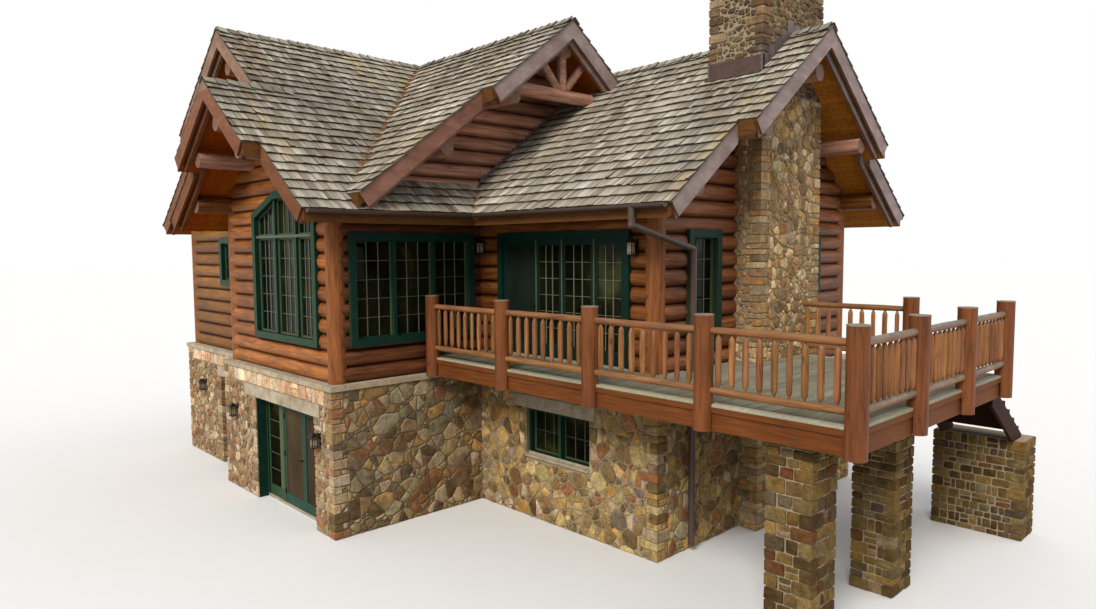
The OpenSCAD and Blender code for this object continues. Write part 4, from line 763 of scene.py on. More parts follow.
def shakes(name, kind, edge, strips, seed, painted_light_gain=1.0):
    """strips: (d0, d1, low a at d0, low a at d1, high a at d0, high a at d1)."""
    place = slope_frame(kind, edge)
    # The slope's axes are mirrored there, so the faces wind the other way
    flip = kind in "NW"
    rnd = random.Random(seed)
    soup = Soup()
    d_top = max(s[1] for s in strips)
    a_min = min(min(s[2], s[3]) for s in strips) - 0.3
    a_max = max(max(s[4], s[5]) for s in strips) + 0.3
    lip = 0.045
    for k in range(int(d_top / EXPOSURE) + 2):
        a = a_min + rnd.random() * 0.2
        wave = rnd.uniform(0, 6)
        while a < a_max:
            w = rnd.choice((0.070, 0.085, 0.10, 0.115, 0.13, 0.155)) * rnd.uniform(0.92, 1.08)
            d0 = k * EXPOSURE - lip + rnd.uniform(-0.009, 0.009) + 0.004 * math.sin(a * 1.7 + wave)
            d1 = d0 + EXPOSURE * 1.2
            t = rnd.uniform(0.030, 0.046)
            if rnd.random() < 0.08:
                t += 0.008
            u = noise.noise(Vector((a * 0.5, d0 * 0.5, seed * 7.0)))
            v2 = noise.noise(Vector((a * 1.9, d0 * 0.35, seed * 3.0 + 40)))
            base = rnd.choice(SHAKE_TONES)
            # Random tone per shake, times a factor that lightens or darkens the whole slope: painted light.
            g = rnd.uniform(0.87, 1.13) * (1 + 0.28 * u) * painted_light_gain
            tone = [c * g for c in base]
            if v2 > 0.30:
                q = min(0.6, (v2 - 0.30) * 2.2) * rnd.random()
                tone = [c * (1 - q) + l * q for c, l in zip(tone, LICHEN)]
            elif v2 < -0.30:
                q = min(0.5, (-v2 - 0.30) * 2.0)
                tone = [tone[0] * (1 - 0.30 * q), tone[1] * (1 - 0.46 * q), tone[2] * (1 - 0.62 * q)]
            tilt = rnd.uniform(-0.006, 0.006)
            gap = rnd.uniform(0.004, 0.009)
            one = rnd.random()
            for s0, s1, l0, l1, r0, r1 in strips:
                low, high = max(d0, s0 if s0 > 0 else -1), min(d1, s1)
                if high - low < 0.01:
                    continue
                poly = [(a, low), (a + w - gap, low), (a + w - gap, high), (a, high)]
                span = s1 - s0
                ml, mr = (l1 - l0) / span, (r1 - r0) / span
                poly = clip(poly, -1, ml, ml * s0 - l0)
                if len(poly) < 3:
                    continue
                poly = clip(poly, 1, -mr, r0 - mr * s0)
                if len(poly) < 3 or abs(area(poly)) < 4e-4:
                    continue

                def height(p):
                    return 0.004 + t * (1 - (p[1] - d0) / (d1 - d0)) + tilt * (p[0] - a) / w

                # Painted shade: each shake is brightest just above its butt and darkens towards the butt of
                # the course above, as in that butt's shadow.
                def shade(p):
                    f = (p[1] - d0) / EXPOSURE
                    k2 = 1.10 if f < 0.25 else 1.10 - 0.16 * (f
                                                              - 0.25) / 0.5 if f < 0.75 else max(0.42,
                            0.94 - 1.9 * (f - 0.75))
                    return tuple(c * k2 for c in tone)

                cut1, cut2 = d0 + EXPOSURE * 0.25, d0 + EXPOSURE * 0.75
                for part in (clip(poly, 0, 1, cut1), clip(clip(poly, 0, -1, -cut1), 0, 1, cut2),
                             clip(poly, 0, -1, -cut2)):
                    if len(part) < 3 or abs(area(part)) < 1e-6:
                        continue
                    f = tuple(range(len(part)))
                    soup.add([place(x, d, height((x, d))) for x, d in part], [f[::-1] if flip else f],
                             seed=one, tones=[shade(p) for p in part])
                n = len(poly)
                for i in range(n):
                    p, q = poly[i], poly[(i + 1) % n]
                    butt = abs(p[1] - d0) < 1e-6 and abs(q[1] - d0) < 1e-6
                    # Butts and sides darker than the face: painted shade in the lines between shakes and
                    # between courses.
                    dark = 0.20 if butt else 0.30
                    v = [place(p[0], p[1], height(p)), place(p[0], p[1], -0.001),
                         place(q[0], q[1], -0.001), place(q[0], q[1], height(q))]
                    soup.add(v, [(3, 2, 1, 0) if flip else (0, 1, 2, 3)],
                             tuple(c * dark for c in tone), seed=one)
                # The underside is darker too: painted shade.
                f = tuple(range(n - 1, -1, -1))
                soup.add([place(x, d, -0.001) for x, d in poly], [f[::-1] if flip else f],
                         tuple(c * 0.4 for c in tone), seed=one)
            a += w
    return soup.piece(name, SHAKE_NS if kind in "SN" else SHAKE_EW, slot="roof")


# Each slope's strips, in its own axes; the shakes stand out past the barge boards by E
E = 0.018
sy = -EAVE_OUT
d_bay = BAY_RIDGE_Y - BAY_STEP - sy
d_bayr = BAY_RIDGE_Y - sy
d_main = MAIN_RIDGE_Y - sy
d_face = -LOG_R - sy
wing_eave = WING_W - EAVE_OUT
val = MIDDLE_X - MAIN_RIDGE_Y
e_valley = WING_RIDGE_X + WING_HALF
shakes("shakes_main_south_west", "S", sy, [
    (0, d_face, -RAKE_LOW - E, -RAKE_LOW - E, wing_eave, wing_eave + d_face),
    (d_face, d_bay, -RAKE_LOW - E, -RAKE_LOW - E, val - LOG_R, val + d_bay + sy),
    (d_bay, d_bayr, -RAKE_HIGH - E, -RAKE_HIGH - E, val + d_bay + sy, val + d_bayr + sy),
    (d_bayr, d_main, BAY_OUT - MAIN_RAKE_HIGH - E, BAY_OUT - MAIN_RAKE_HIGH - E, val + d_bayr + sy, MIDDLE_X),
], 1, 0.88)
d_ms = MAIN_RIDGE_Y - MAIN_STEP - sy
d_tr = TROUGH_Y - sy
d_wr = WING_HALF - sy
shakes("shakes_main_south_east", "S", sy, [(0, d_ms, e_valley - sy, e_valley - (d_ms + sy), WING_E
                                            + RAKE_LOW + E, WING_E + RAKE_LOW + E),
                                           (d_ms, d_wr, e_valley - (d_ms + sy), e_valley - WING_HALF,
                                            WING_E + RAKE_HIGH + E, WING_E + RAKE_HIGH + E),
                                           (d_tr, d_wr, TROUGH_X, MIDDLE_X + MAIN_RIDGE_Y
                                            - WING_HALF, TROUGH_X, TROUGH_X + d_wr - d_tr),
                                           (d_wr, d_main, MIDDLE_X + MAIN_RIDGE_Y - WING_HALF,
                                            MIDDLE_X, WING_E + RAKE_HIGH + E, WING_E + RAKE_HIGH + E),], 2)
ny = MAIN_DEPTH + EAVE_OUT
d_mn = ny - MAIN_RIDGE_Y - MAIN_STEP
shakes("shakes_main_north", "N", ny, [(0, d_mn, BAY_OUT - MAIN_RAKE_LOW - E, BAY_OUT - MAIN_RAKE_LOW
                                       - E, WING_E + RAKE_LOW + E, WING_E + RAKE_LOW + E),
                                      (d_mn, d_main, BAY_OUT - MAIN_RAKE_HIGH - E, BAY_OUT
                                       - MAIN_RAKE_HIGH - E, WING_E + RAKE_HIGH + E, WING_E + RAKE_HIGH
                                       + E),], 3)
by = BAY_DEPTH + EAVE_OUT
d_bn = by - BAY_RIDGE_Y - BAY_STEP
shakes("shakes_bay_north", "N", by, [
    (0, d_bn, -RAKE_LOW - E, -RAKE_LOW - E, BAY_OUT - LOG_R, BAY_OUT - LOG_R),
    (d_bn, by - BAY_RIDGE_Y, -RAKE_HIGH - E, -RAKE_HIGH - E, BAY_OUT - LOG_R, BAY_OUT - LOG_R),
], 4)
mw = MIDDLE_X - d_main
d_m0 = MIDDLE_X - MIDDLE_RUN - mw
d_m1 = MIDDLE_X - MIDDLE_STEP - mw
shakes("shakes_middle_west", "W", mw, [
    (d_m0, d_m1, -RAKE_LOW - E, -RAKE_LOW - E, mw + d_m0 - val, mw + d_m1 - val),
    (d_m1, d_main, -RAKE_HIGH - E, -RAKE_HIGH - E, mw + d_m1 - val, MAIN_RIDGE_Y),
], 5, 1.2)
me_ = MIDDLE_X + d_main
d_t = me_ - TROUGH_X
shakes("shakes_middle_east", "E", me_, [
    (d_t, d_main, -RAKE_HIGH - E, -RAKE_HIGH - E, TROUGH_Y, MAIN_RIDGE_Y),
], 6)
wr = WING_RIDGE_X - wing_eave
s_lo, s_hi = -WING_LEN - RAKE_LOW - E, -WING_LEN - RAKE_HIGH - E
d_w1 = wr - WING_STEP
ch0, ch1 = CH_Y0 - 0.03, CH_Y1 + 0.03
LOG_OVER = EAVE_OUT - LOG_R
shakes("shakes_wing_west", "W", wing_eave, [
    (0, LOG_OVER, s_lo, s_lo, sy, sy + LOG_OVER),
    (LOG_OVER, d_w1, s_lo, s_lo, -LOG_R, -LOG_R),
    (d_w1, CH_X0 - 0.03 - wing_eave, s_hi, s_hi, -LOG_R, -LOG_R),
    (CH_X0 - 0.03 - wing_eave, TROUGH_X - wing_eave, ch1, ch1, -LOG_R, -LOG_R),
    (CH_X0 - 0.03 - wing_eave, wr, s_hi, s_hi, ch0, ch0),
    (TROUGH_X - wing_eave, wr, ch1, ch1, TROUGH_Y, TROUGH_Y + WING_RIDGE_X - TROUGH_X),
], 7, 1.06)
we = WING_E + EAVE_OUT
d_c = we - CH_X1 - 0.03
shakes("shakes_wing_east", "E", we, [
    (0, d_w1, s_lo, s_lo, sy, sy + d_w1),
    (d_w1, d_c, s_hi, s_hi, sy + d_w1, sy + d_c),
    (d_c, wr, s_hi, s_hi, ch0, ch0),
    (d_c, wr, ch1, ch1, sy + d_c, sy + wr),
], 8)


def ridge_caps(soup, p0, p1, z, rnd):
    """Overlapping pairs of boards along a ridge from p0 to p1 in plan."""
    p0, p1 = Vector((*p0, 0)), Vector((*p1, 0))
    run = (p1 - p0).length
    along_ = (p1 - p0) / run
    side = Vector((-along_.y, along_.x, 0))
    n = max(1, round(run / 0.22))
    step = run / n
    for i in range(n):
        for s in (-1, 1):
            w = rnd.uniform(0.115, 0.15)
            t0, t1 = rnd.uniform(0.060, 0.082), 0.038
            a0, a1 = i * step + rnd.uniform(-0.01, 0.01) * (i > 0), min(run, i * step + step * 1.5)
            g = rnd.uniform(0.7, 1.05)
            tone = tuple(c * g for c in rnd.choice(SHAKE_TONES))
            v = []
            for a, t in ((a0, t0), (a1, t1)):
                for u, h in ((0, t), (w, t), (w, t - 0.026), (0, t - 0.026)):
                    base = p0 + along_ * a + side * (s * u)
                    v.append((base.x + s * side.x * SLOPE * h / SLOPE_LEN, base.y + s * side.y * SLOPE * h
                              / SLOPE_LEN, z - u * SLOPE + h / SLOPE_LEN + (0.0 if u else 0.012)))
            faces = [(0, 1, 5, 4), (1, 2, 6, 5), (2, 3, 7, 6), (3, 0, 4, 7), (3, 2, 1, 0), (4, 5, 6, 7)]
            for j, q in enumerate(faces):
                # Only the top face keeps its tone; the other faces get painted shade.
                k2 = 1.0 if j == 0 else 0.3
                soup.add([v[i2] for i2 in q], [(3, 2, 1, 0) if s > 0 else (0, 1, 2, 3)],
                         tuple(c * k2 for c in tone), seed=g - 0.3)


caps_x, caps_y = Soup(), Soup()
rnd_caps = random.Random(5)
MAIN_Z = EAVE_Z + d_main * SLOPE
BAY_Z = EAVE_Z + d_bayr * SLOPE
WING_Z = EAVE_Z + wr * SLOPE
ridge_caps(caps_x, (BAY_OUT - MAIN_RAKE_HIGH, MAIN_RIDGE_Y), (WING_E + RAKE_HIGH, MAIN_RIDGE_Y),
           MAIN_Z, rnd_caps)
ridge_caps(caps_x, (-RAKE_HIGH, BAY_RIDGE_Y), (BAY_OUT - LOG_R, BAY_RIDGE_Y), BAY_Z, rnd_caps)
ridge_caps(caps_y, (MIDDLE_X, -RAKE_HIGH - E), (MIDDLE_X, MAIN_RIDGE_Y - 0.1), MAIN_Z, rnd_caps)
ridge_caps(caps_y, (WING_RIDGE_X, s_hi), (WING_RIDGE_X, CH_Y0), WING_Z, rnd_caps)
ridge_caps(caps_y, (WING_RIDGE_X, CH_Y1), (WING_RIDGE_X, 3.1), WING_Z, rnd_caps)
caps_x.piece("ridge_shakes_east_west", SHAKE_EW, slot="roof")
caps_y.piece("ridge_shakes_north_south", SHAKE_NS, slot="roof")


def valley_chips(soup, p0, p1, rnd, count, spread):
    """Rust-brown splinters and needles caught along a valley, which rises from p0 to p1 in plan."""
    p0, p1 = Vector(p0), Vector(p1)
    along_ = (p1 - p0).normalized()
    side = Vector((-along_.y, along_.x))
    run = (p1 - p0).length
    for i in range(count):
        s = rnd.random() * run
        across = rnd.gauss(0, spread)
        c = p0 + along_ * s + side * across
        # height over the two slopes that meet there
        ground = EAVE_Z + ((p0 + along_ * s).y - sy) * SLOPE + abs(across) * SLOPE * 0.7071 + 0.030
        a = rnd.uniform(0, math.pi)
        length, width = rnd.uniform(0.014, 0.045), rnd.uniform(0.006, 0.016)
        u = Vector((math.cos(a), math.sin(a)))
        w = Vector((-u.y, u.x))
        tone = rnd.choice(((0.25, 0.115, 0.045), (0.18, 0.082, 0.034), (0.32, 0.165, 0.065),
                           (0.13, 0.065, 0.030), (0.22, 0.140, 0.072)))
        v = []
        for h in (-0.02, rnd.uniform(0.004, 0.014)):
            for q, r in ((-1, -1), (1, -1), (1, 1), (-1, 1)):
                pt = c + u * (q * length / 2) + w * (r * width / 2)
                v.append((pt.x, pt.y, ground + h + q * 0.004))
        soup.add(v, BOX_FACES, tone)


chips = Soup()
rnd_ch = random.Random(91)
valley_chips(chips, (val - LOG_R + 0.05, -LOG_R + 0.05), (MIDDLE_X - 0.05, MAIN_RIDGE_Y - 0.05),
             rnd_ch, 1300, 0.036)
valley_chips(chips, (wing_eave + 0.02, sy + 0.02), (WING_W - LOG_R - 0.02, -LOG_R - 0.02), rnd_ch, 90, 0.022)
chips.piece("valley_needles", DEBRIS, slot="roof")

# Flashing round the chimney and where the truss tie meets the wing's roof
flash = Soup()
fo = 0.032
for x_face, lo_x, hi_x in ((CH_X0, CH_X0 - fo, CH_X0 + 0.01), (CH_X1, CH_X1 - 0.01, CH_X1 + fo)):
    zr = WING_Z - abs(x_face - WING_RIDGE_X) * SLOPE
    flash.box((lo_x, CH_Y0 - fo, zr - 0.05), (hi_x, CH_Y1 + fo, zr + 0.27), chamfer=0.004)
    flash.box((min(lo_x, x_face - 0.15) if x_face == CH_X0 else lo_x, CH_Y0 - fo, zr - 0.06),
              (hi_x if x_face == CH_X0 else x_face + 0.15, CH_Y1 + fo, zr - 0.012), chamfer=0.004)
for y0, y1 in ((CH_Y0 - fo, CH_Y0 + 0.01), (CH_Y1 - 0.01, CH_Y1 + fo)):
    for s in (-1, 1):
        for i in range(5):
            xa = WING_RIDGE_X + s * i * 0.208
            xb = WING_RIDGE_X + s * (i + 1) * 0.208
            zr = WING_Z - (abs(xb - WING_RIDGE_X)) * SLOPE
            x0, x1 = sorted((xa, xb))
            flash.box((x0 - 0.006, y0, zr - 0.05), (x1 + 0.006, y1, zr + 0.34), chamfer=0.004, mat=1)
foot_x = WING_W - EAVE_OUT
step = 0.095
for i in range(int((WING_RIDGE_X - foot_x - 0.80) / step)):
    xa = foot_x + 0.80 + step * i
    za = EAVE_Z + (xa - foot_x) * SLOPE
    flash.box((xa - 0.01, -LOG_R - 0.006, za + 0.02),
              (xa + step + 0.01, -LOG_R + 0.004, za + SLOPE * step + 0.065), chamfer=0.002, mat=1)
flash.piece("chimney_flashing", (FLASHING, LEAD), slot="gutter_metal")

# ------------------------------------------------------------------ stonework
FIELD_TONES = [(0.285, 0.154, 0.083), (0.399, 0.326, 0.207), (0.199, 0.110, 0.063),
               (0.320, 0.227, 0.104), (0.240, 0.170, 0.083), (0.187, 0.138, 0.077), (0.278, 0.227, 0.133),
               (0.368, 0.291, 0.161), (0.229, 0.196, 0.129), (0.304, 0.180, 0.071), (0.160, 0.111, 0.058),
               (0.395, 0.331, 0.202), (0.214, 0.120, 0.059), (0.351, 0.235, 0.099), (0.260, 0.185, 0.092)]
WEST_TONES = [(0.446, 0.331, 0.196), (0.342, 0.225, 0.132), (0.285, 0.193, 0.115), (0.522, 0.423, 0.281),
              (0.314, 0.248, 0.170), (0.399, 0.267, 0.153), (0.247, 0.170, 0.106), (0.494, 0.386, 0.238),
              (0.361, 0.216, 0.128), (0.589, 0.488, 0.340)]
STACK_TONES = [(0.501, 0.365, 0.193), (0.419, 0.285, 0.137), (0.345, 0.238, 0.122), (0.582, 0.458, 0.264),
               (0.307, 0.232, 0.141), (0.457, 0.296, 0.127), (0.269, 0.192, 0.109), (0.626, 0.505, 0.308),
               (0.375, 0.226, 0.099), (0.413, 0.337, 0.213)]
BROWN_TONES = [(0.300, 0.150, 0.068), (0.480, 0.390, 0.250), (0.250, 0.200, 0.140),
               (0.349, 0.247, 0.103), (0.267, 0.184, 0.080), (0.430, 0.319, 0.137), (0.222, 0.153, 0.067),
               (0.394, 0.268, 0.098), (0.491, 0.382, 0.177), (0.305, 0.234, 0.112), (0.446, 0.305, 0.112),
               (0.193, 0.125, 0.058)]


CUT_Z = 7.9
HIGH_TONES = [(0.222, 0.162, 0.097), (0.174, 0.126, 0.076), (0.144, 0.106, 0.068), (0.264, 0.211, 0.141),
              (0.134, 0.105, 0.078), (0.204, 0.136, 0.071), (0.116, 0.087, 0.060), (0.168, 0.105, 0.056)]


def outside(poly, h):
    """The parts of an outline that lie outside an opening."""
    out = []
    for nx, nz, c in ((1, 0, h[0]), (-1, 0, -h[2]), (0, 1, h[1]), (0, -1, -h[3])):
        part = clip(poly, nx, nz, c)
        if len(part) >= 3 and abs(area(part)) > 0.0012:
            out.append(part)
        poly = clip(poly, -nx, -nz, -c)
        if len(poly) < 3 or abs(area(poly)) < 0.0006:
            break
    return out


def span(poly, a):
    """An outline's extent along the direction a, with that direction."""
    u, v = math.cos(a), math.sin(a)
    k = [u * p[0] + v * p[1] for p in poly]
    return min(k), max(k), u, v


def cracked(poly, rnd, least):
    """An outline broken across its long way, when both halves stay at least that thick."""
    spans = [span(poly, n * 0.3927) for n in range(8)]
    long_way = max(range(8), key=lambda n: spans[n][1] - spans[n][0]) * 0.3927
    for _ in range(5):
        a, b, u, v = span(poly, long_way + rnd.uniform(-0.5, 0.5))
        c = a + (b - a) * rnd.uniform(0.35, 0.65)
        parts = [clip(poly, u, v, c), clip(poly, -u, -v, -c)]
        if min(len(q) for q in parts) >= 3 and min(s[1] - s[0] for q in parts
                                                   for s in (span(q, n * 0.3927)
                                                             for n in range(8))) > least:
            return parts
    return [poly]


def rubble(width, height, holes, rnd, r_lo, r_hi, flat=1.3, slant=0.0):
    """Outlines of irregular stones of many sizes: large ones thrown first, small ones between, some broken.
    They are longer than high by flat, along a line that slants."""
    cs, sn, q2 = math.cos(slant), math.sin(slant), flat * flat
    m11, m12, m22 = cs * cs + q2 * sn * sn, (1 - q2) * cs * sn, sn * sn + q2 * cs * cs

    def gap2(dx, dz):
        return m11 * dx * dx + 2 * m12 * dx * dz + m22 * dz * dz

    seeds, grid, g = [], {}, r_hi * 2
    r = r_hi
    while r > r_lo * 0.99:
        for _ in range(int((width + 2 * r) * (height + 2 * r) / (r * r) * 1.1)):
            x, z = rnd.uniform(-r, width + r), rnd.uniform(-r, height + r)
            gx, gz = int(x // g), int(z // g)
            if any(gap2(x - a, z - b) < ((r + q) * 0.70) ** 2
                   for i in (-1, 0, 1) for j in (-1, 0, 1) for a, b, q in grid.get((gx + i, gz + j), ())):
                continue
            seeds.append((x, z, r))
            grid.setdefault((gx, gz), []).append((x, z, r))
        r *= 0.80
    out = []
    for x, z, r in seeds:
        k = 2.8 * r + 0.1
        if not (-k < x < width + k and -k < z < height + k):
            continue
        poly = [(max(0, x - k), max(0, z - k)), (min(width, x + k), max(0, z - k)),
                (min(width, x + k), min(height, z + k)), (max(0, x - k), min(height, z + k))]
        gx, gz = int(x // g), int(z // g)
        near = sorted((gap2(a - x, b - z), a, b, q) for i in (-2, -1, 0, 1, 2)
                      for j in (-2, -1, 0, 1, 2) for a, b, q in grid.get((gx + i, gz + j), ()))
        for _, a, b, q in near[1:28]:
            # the dividing line shifts towards the smaller of two stones
            nx, nz = m11 * (a - x) + m12 * (b - z), m12 * (a - x) + m22 * (b - z)
            c = (nx * (a + x) + nz * (b + z)) / 2 + (r * r - q * q) / 2
            poly = clip(poly, nx, nz, c)
            if len(poly) < 3:
                break
        if len(poly) < 3:
            continue
        parts = [poly]
        for chance in (0.55, 0.3):
            if r > r_lo * 1.6:
                parts = [q for p in parts for q in (cracked(p, rnd, r_lo * 0.8)
                                                    if rnd.random() < chance else [p])]
        out += parts
    for h in holes:
        x0, z0, x1, z1 = h
        out = [q for p in out for q in (outside(p, h) if any(v[0] > x0 for v in p)
                                        and any(v[0] < x1 for v in p) and any(v[1] > z0 for v in p)
                                        and any(v[1] < z1 for v in p) else [p])]
    return out


def coursed(width, levels, holes, rnd, w_lo, w_hi, split=0.25):
    """Squared stones in rows; levels are the rows' heights above the face's foot."""
    out = []
    for z0, z1 in zip(levels, levels[1:]):
        free = [(0.0, width)]
        for h in holes:
            if h[1] < z1 - 0.03 and h[3] > z0 + 0.03:
                free = [q for a, b in free for q in ((a, min(b, h[0])), (max(a, h[2]), b)) if q[1]
                        - q[0] > 0.02]
        for a, b in free:
            n = max(1, round((b - a) / rnd.uniform(w_lo, w_hi)))
            cuts = [a] + sorted(a + (b - a) * (i + rnd.uniform(-0.33, 0.33)) / n for i in range(1, n)) + [b]
            for c, d in zip(cuts, cuts[1:]):
                j = 0.010
                if d - c > 0.13 and z1 - z0 > 0.15 and rnd.random() < split:
                    m = z0 + (z1 - z0) * rnd.uniform(0.4, 0.6)
                    out.append([(c, z0), (d, z0), (d, m), (c, m + rnd.uniform(-j, j))])
                    out.append([(c, m), (d, m), (d, z1), (c, z1)])
                else:
                    k = rnd.uniform(-j, j) if 0 < c and d < width else 0
                    out.append([(c + k, z0), (d, z0 + rnd.uniform(0, j)), (d, z1),
                                (c - k, z1 - rnd.uniform(0, j))])
    return out


def inset(poly, gap):
    n = len(poly)
    out = poly
    for i in range(n):
        p, q = poly[i], poly[(i + 1) % n]
        ex, ez = q[0] - p[0], q[1] - p[1]
        length = math.hypot(ex, ez)
        if length < 1e-6:
            continue
        nx, nz = ez / length, -ex / length
        out = clip(out, nx, nz, nx * p[0] + nz * p[1] - gap)
        if len(out) < 3:
            return out
    return out


def hewn(poly, rnd, wobble):
    """A stone's outline: small broken corners, and long edges that aren't quite straight."""
    pts = []
    n = len(poly)
    for i in range(n):
        p, q = poly[i], poly[(i + 1) % n]
        length = math.hypot(q[0] - p[0], q[1] - p[1])
        if length < 0.014:
            continue
        ex, ez = (q[0] - p[0]) / length, (q[1] - p[1]) / length
        c = min(0.024, length * 0.2) * rnd.choice((0.25, 0.4, 0.6, 1.1))
        d = min(0.024, length * 0.2) * rnd.choice((0.25, 0.4, 0.6, 1.1))
        steps = [c, length - d] if length < 0.13 else [c, length * rnd.uniform(0.35, 0.65), length - d]
        for s in steps:
            k = rnd.uniform(-wobble, wobble * 0.4)
            pts.append((p[0] + ex * s + ez * k, p[1] + ez * s - ex * k))
    return pts


def lay(soup, origin, along_, out, polys, width, height, rnd, tones, proud=0.026, gap=0.008,
        tilt=0.06, spread=0.2):
    """Stones from their outlines: origin is the face's low corner, along_ runs right seen from outside."""
    ox, oy, oz = origin
    for poly in polys:
        if area(poly) < 0:
            poly = poly[::-1]
        poly = inset(poly, gap * rnd.uniform(0.8, 1.25))
        if len(poly) < 3 or area(poly) < 0.0012:
            continue
        ring = hewn(poly, rnd, 0.006)
        if len(ring) < 4 or area(ring) < 0.001:
            continue
        n = len(ring)
        cx = sum(p[0] for p in ring) / n
        cz = sum(p[1] for p in ring) / n
        size = math.sqrt(area(ring))
        h = proud * rnd.uniform(0.55, 1.0)
        tx, tz = rnd.uniform(-tilt, tilt), rnd.uniform(-tilt, tilt)
        v = []
        for k, (drop, lift) in enumerate(((0.0, -0.004), (0.004, h * 0.6), (0.016, h * 0.95))):
            shrink = 1 - drop / max(size * 0.5, 0.03)
            for px, pz in ring:
                x, z = cx + (px - cx) * shrink, cz + (pz - cz) * shrink
                d = lift
                if k:
                    d += tx * (x - cx) + tz * (z - cz) + (rnd.uniform(-0.003, 0.003) if k > 1 else 0)
                d = min(max(d, -0.004), proud + 0.006)
                x, z = min(max(x, 0), width), min(max(z, 0), height)
                v.append((ox + along_[0] * x + out[0] * d, oy + along_[1] * x + out[1] * d, oz + z))
        mx, mz = cx + rnd.uniform(-0.22, 0.22) * size, cz + rnd.uniform(-0.22, 0.22) * size
        d = min(h + rnd.uniform(0.0, 0.007), proud + 0.008)
        v.append((ox + along_[0] * mx + out[0] * d, oy + along_[1] * mx + out[1] * d, oz + mz))
        f = []
        for k in range(2):
            for i in range(n):
                a, b = k * n + i, k * n + (i + 1) % n
                f.append((a, b, b + n, a + n))
        f += [(2 * n + i, 2 * n + (i + 1) % n, 3 * n) for i in range(n)]
        g = rnd.uniform(1 - spread, 1 + spread)
        base = rnd.choice(tones)
        tone = tuple(c * g * rnd.uniform(0.95, 1.05) for c in base)
        # The ring at the mortar, round each stone's foot, is darker: painted shade.
        foot = tuple(c * 0.62 for c in tone)
        soup.add(v, f, seed=rnd.random(), tones=[foot] * n + [tone] * (2 * n + 1))


SO = STONE_OUT
W_, E_, S_, N_ = (-1, 0), (1, 0), (0, -1), (0, 1)


def face(soup, kind, at, lo, hi, z0=0.0, z1=LEDGE_UNDER, holes=(), seed=0, levels=None,
         size=(0.09, 0.24), wide=(0.18, 0.38), flat=1.3, slant=0.0, tones=FIELD_TONES, split=0.25, **kw):
    """A wall face that looks to kind, at that x or y, from lo to hi; holes are in the same world numbers."""
    rnd = random.Random(seed)
    width = hi - lo
    if kind == "S":
        o, al, ou, turn = (lo, at, z0), (1, 0), S_, lambda a: a - lo
    elif kind == "N":
        o, al, ou, turn = (hi, at, z0), (-1, 0), N_, lambda a: hi - a
    elif kind == "W":
        o, al, ou, turn = (at, hi, z0), (0, -1), W_, lambda a: hi - a
    else:
        o, al, ou, turn = (at, lo, z0), (0, 1), E_, lambda a: a - lo
    hs = []
    for a0, h0, a1, h1 in holes:
        p, q = sorted((turn(a0), turn(a1)))
        hs.append((p, h0 - z0, q, h1 - z0))
    if levels:
        rows = [z - z0 for z in levels if z0 - 0.01 <= z <= z1 + 0.01]
        polys = coursed(width, rows, hs, rnd, *wide, split=split)
    else:
        polys = rubble(width, z1 - z0, hs, rnd, *size, flat=flat, slant=slant)
    lay(soup, o, al, ou, polys, width, z1 - z0, rnd, tones, **kw)


def rows(z0, z1, lo, hi, seed):
    rnd = random.Random(seed)
    z, out = z0, [z0]
    while z < z1 - lo:
        z += rnd.uniform(lo, hi)
        out.append(z)
    k = (z1 - z0) / (out[-1] - z0)
    return [z0 + (q - z0) * k for q in out]


def quoins(soup, cx, cy, sx, sy_, levels, across, deep, tones, seed, proud=0.028):
    """Corner stones; across and deep give their lengths on even and odd rows.
    Gives the holes that they leave in both faces."""
    rnd = random.Random(seed)
    holes_x, holes_y = [], []
    for i, (z0, z1) in enumerate(zip(levels, levels[1:])):
        la, lb = rnd.uniform(*across[i % 2]), rnd.uniform(*deep[i % 2])
        p = proud * rnd.uniform(0.72, 1.0)
        x0, x1 = sorted((cx + sx * p, cx - sx * (la - 0.007)))
        y0, y1 = sorted((cy + sy_ * p, cy - sy_ * (lb - 0.007)))
        g = rnd.uniform(0.82, 1.18)
        tone = tuple(c * g for c in rnd.choice(HIGH_TONES if z0 >= CUT_Z else tones))
        soup.box((x0, y0, z0 + 0.006), (x1, y1, z1 - 0.006), tone, chamfer=0.013, seed=rnd.random(),
                 jitter=(rnd, 0.004))
        ax, bx = sorted((cx + sx * 0.1, cx - sx * la))
        ay, by_ = sorted((cy + sy_ * 0.1, cy - sy_ * lb))
        holes_x.append((ax, z0, bx, z1))
        holes_y.append((ay, z0, by_, z1))
    return holes_x, holes_y


LONG, SHORT = (0.20, 0.34), (0.10, 0.19)
lintel_top = 2.36


def corner_rows(z0, z1, seed):
    return rows(z0, z1, 0.085, 0.20, seed)


JAMB_X = (0.19, 0.192)
base = Soup()
CORNER = WEST_TONES + FIELD_TONES[:6]


def corner(x, y, sy_, seed, long_x, tones=WEST_TONES):
    """A west corner's stones; long_x says that the lowest one is long along x."""
    across, deep = ((LONG, SHORT), (SHORT, LONG)) if long_x else ((SHORT, LONG), (LONG, SHORT))
    return quoins(base, x, y, -1, sy_, corner_rows(0, LEDGE_UNDER, seed), across, deep, tones, seed + 100)


def jamb(x, y, sy_, seed):
    """The stones at one side of a doorway; gives the holes that they leave in the wall's face."""
    deep = (LONG, SHORT) if sy_ < 0 else (SHORT, LONG)
    return quoins(base, x, y, -1, sy_, corner_rows(0, DOOR_H, seed), (JAMB_X, JAMB_X), deep,
                  WEST_TONES, seed + 100, 0.018)[1]


